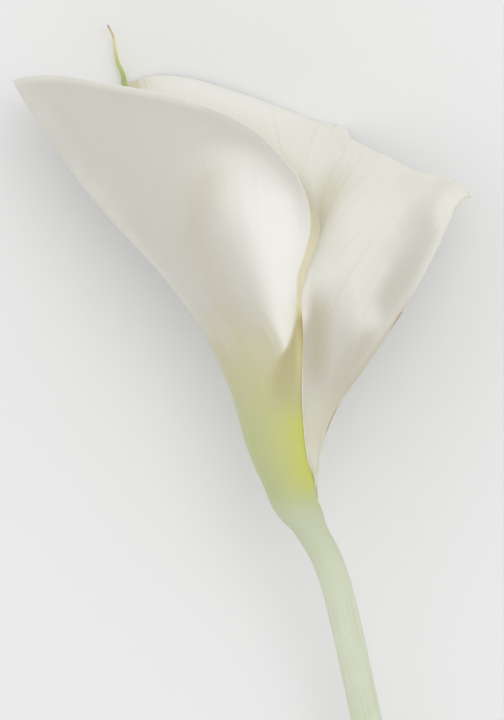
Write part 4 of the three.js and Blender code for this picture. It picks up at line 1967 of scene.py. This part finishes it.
    def values(self, sheet: Sheet) -> dict[str, tuple[np.ndarray, np.ndarray]]:
        """What the petal's finish reads, on the outer and on the inner face.

        Args:
            sheet: The spathe's sheet.

        Returns:
            The two arrays of each value, by name.
        """
        outer, inner = self.tints.outer(sheet), self.tints.inner(sheet)
        nothing = np.zeros_like(sheet.across)
        values = {"across": (sheet.across, sheet.across), "along": (sheet.along, sheet.along)}
        for tint in Tint:
            values[tint.value] = outer.get(tint, nothing), inner.get(tint, nothing)
        return values

    def make(self) -> bpy.types.Object:
        """Builds and dresses the spathe.

        Returns:
            The piece.
        """
        materials = [PetalFinish().material(), TailFinish().material()]
        built = self.blade().joined(self.tail.skin()).build("calla_spathe", materials)
        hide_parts("spathe")
        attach(built, ROOT)
        return built


# ---- The spadix ----


@dataclass
class Spadix:
    """The upright spike in the throat, close-set with florets."""

    foot: Foot
    line: tuple[Point, ...] = (
        (10.1, -26, 42.5), (7.8, -9, 43), (4.6, 8, 44.5), (1.4, 22, 47), (-0.8, 32, 49))
    radius: float = 3.6
    taper: float = 0.18
    rounding: float = 0.1  # the share of its length that rounds off to the tip
    blunt: float = 0.985  # how far the tip closes
    bare: float = 0.04  # the share of its length in which the florets set in
    floret: float = 0.5  # height of a floret
    floret_reach: float = 0.56  # its dome's radius, as a share of the space it has
    floret_shift: float = 0.07  # how far florets stray from their rows
    florets_round: int = 17
    row_height: float = math.sqrt(3) / 2  # of a row of florets, in widths of a floret
    steps: int = 420
    sides: int = 153
    seed: int = 11

    def skin(self) -> MeshParts:
        """The spike as a closed mesh, each floret a low dome.

        Returns:
            The mesh, with the florets' height and tone.
        """
        start = np.array(self.foot.centre)
        ends = (tuple(start + self.foot.axis * self.foot.gap),
                tuple(start + self.foot.axis * self.foot.neck))
        line = curve_through((*ends, *self.line), self.steps)
        length = float(np.linalg.norm(np.diff(line, axis=0), axis=1).sum())
        share = np.linspace(0, 1, self.steps)
        closing = np.clip((share - (1 - self.rounding)) / self.rounding, 0, 1)
        rounded = np.sqrt(1 - self.blunt * closing ** 2)
        radius = self.radius * (1 - self.taper * share) * rounded
        height, tone = self.florets(share, length)
        height = height * smoothstep(share, 0.0, self.bare)[:, None]
        skin = rod(line, radius[:, None] + self.floret * height)
        along = np.broadcast_to(share[:, None], height.shape)
        return rod_mesh(skin, {"along": along, "height": height, "tone": tone})

    def florets(self, share: np.ndarray, length: float) -> tuple[np.ndarray, np.ndarray]:
        """Domes in rows that lie half a floret aside of each other.

        Args:
            share: Share of the spike's length at each step.
            length: Its length.

        Returns:
            The height and the tone by step and side, from 0 to 1.
        """
        width = 2 * math.pi * self.radius / self.florets_round
        rows = round(length / (width * self.row_height))
        row = share[:, None] * rows
        turn = np.broadcast_to(circle(self.sides)[None, :] / (2 * math.pi) * self.florets_round,
                               (len(share), self.sides))
        cells = rows + 3, self.florets_round  # a row before the first, and two after the last
        draw = np.random.default_rng(self.seed)
        tones = draw.random(cells)
        strays = draw.normal(0.0, self.floret_shift, (*cells, 2))
        nearest = np.full(turn.shape, np.inf)
        tone = np.zeros(turn.shape)
        for shift in (-1, 0, 1):
            number = np.floor(row).astype(int) + shift
            aside = turn - 0.5 * (number % 2)
            for step in (0, 1):
                place = np.floor(aside).astype(int) + step
                cell = np.clip(number + 1, 0, cells[0] - 1), place % self.florets_round
                across = aside - place + strays[cell][..., 0]
                down = (row - number - 0.5 + strays[cell][..., 1]) * self.row_height
                distance = np.hypot(across, down)
                tone = np.where(distance < nearest, tones[cell], tone)
                nearest = np.minimum(nearest, distance)
        return np.sqrt(np.clip(1 - (nearest / self.floret_reach) ** 2, 0, 1)), tone

    def make(self) -> bpy.types.Object:
        """Builds and dresses the spadix.

        Returns:
            The piece.
        """
        built = self.skin().build("calla_spadix", [SpadixFinish().material()])
        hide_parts("spadix")
        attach(built, ROOT)
        return built


# ---- The studio ----


@dataclass
class Studio:
    """A pale floor, soft light from the upper right, and the camera straight above."""

    floor_side: float = 24.0
    # The camera's own place, lens and view.
    target: Point = (0.0032528, 0.0427967, 0.055)
    distance: float = 4.5
    view_height: float = 0.216  # what the frame shows from its lower to its upper edge
    view_end: float = 13.5  # how far from the camera
    sensor: float = 36.0  # its width in millimetres
    # The light.
    sun_direction: Point = (0.2, 0.25, 1.0)
    sun_strength: float = 0.5
    sun_angle: float = 40.0  # degrees; the wider, the softer its shadows
    sun_colour: Colour = (1.0, 0.985, 0.95)
    sky: Colour = (0.985, 0.99, 1.0)
    sky_strength: float = 0.84

    def floor(self) -> None:
        """Lays the floor that the flower lies on."""
        half = self.floor_side / 2
        mesh = bpy.data.meshes.new("floor")
        corners = [(-half, -half, 0), (half, -half, 0), (half, half, 0), (-half, half, 0)]
        mesh.from_pydata(corners, [], [(0, 1, 2, 3)])
        mesh.materials.append(FloorFinish().material())
        built = bpy.data.objects.new("floor", mesh)
        bpy.context.scene.collection.objects.link(built)

    def lights(self) -> None:
        """Sets a soft sun and an even pale sky."""
        sun = bpy.data.lights.new("key", "SUN")
        sun.energy = self.sun_strength
        sun.angle = math.radians(self.sun_angle)
        sun.color = self.sun_colour
        lamp = bpy.data.objects.new("key", sun)
        lamp.rotation_mode = "QUATERNION"
        lamp.rotation_quaternion = Vector(self.sun_direction).to_track_quat("Z", "Y")
        bpy.context.scene.collection.objects.link(lamp)
        world = bpy.data.worlds.new("studio")
        world.use_nodes = True
        background = world.node_tree.nodes["Background"]
        background.inputs["Color"].default_value = (*self.sky, 1.0)
        background.inputs["Strength"].default_value = self.sky_strength
        bpy.context.scene.world = world

    def camera(self) -> None:
        """Sets the camera straight above, with a long lens."""
        lens = bpy.data.cameras.new("camera")
        lens.sensor_width = self.sensor
        lens.lens = self.sensor * self.distance / self.view_height
        lens.clip_end = self.view_end
        built = bpy.data.objects.new("camera", lens)
        built.location = Vector(self.target) + Vector((0, 0, self.distance))
        bpy.context.scene.collection.objects.link(built)
        bpy.context.scene.camera = built
        bpy.context.scene.view_settings.view_transform = "Standard"

    def make(self) -> None:
        """Sets everything up."""
        self.camera()
        self.lights()
        self.floor()


def main() -> None:
    """Builds the studio and the flower, piece by piece."""
    logging.basicConfig(level=logging.INFO, format="%(name)s: %(message)s")
    Studio().make()
    foot = Foot()
    stem = Stem(foot)
    makers: list[tuple[str, Callable[[], bpy.types.Object]]] = [
        ("spathe", Spathe(foot, stem, Tail(), PetalTints()).make),
        ("spadix", Spadix(foot).make),
        ("stem", stem.make),
    ]
    for name, make in makers:
        built = make()
        LOG.info("%s: %d corners, %d faces", name, len(built.data.vertices),
                 len(built.data.polygons))


if __name__ == "__main__":
    main()
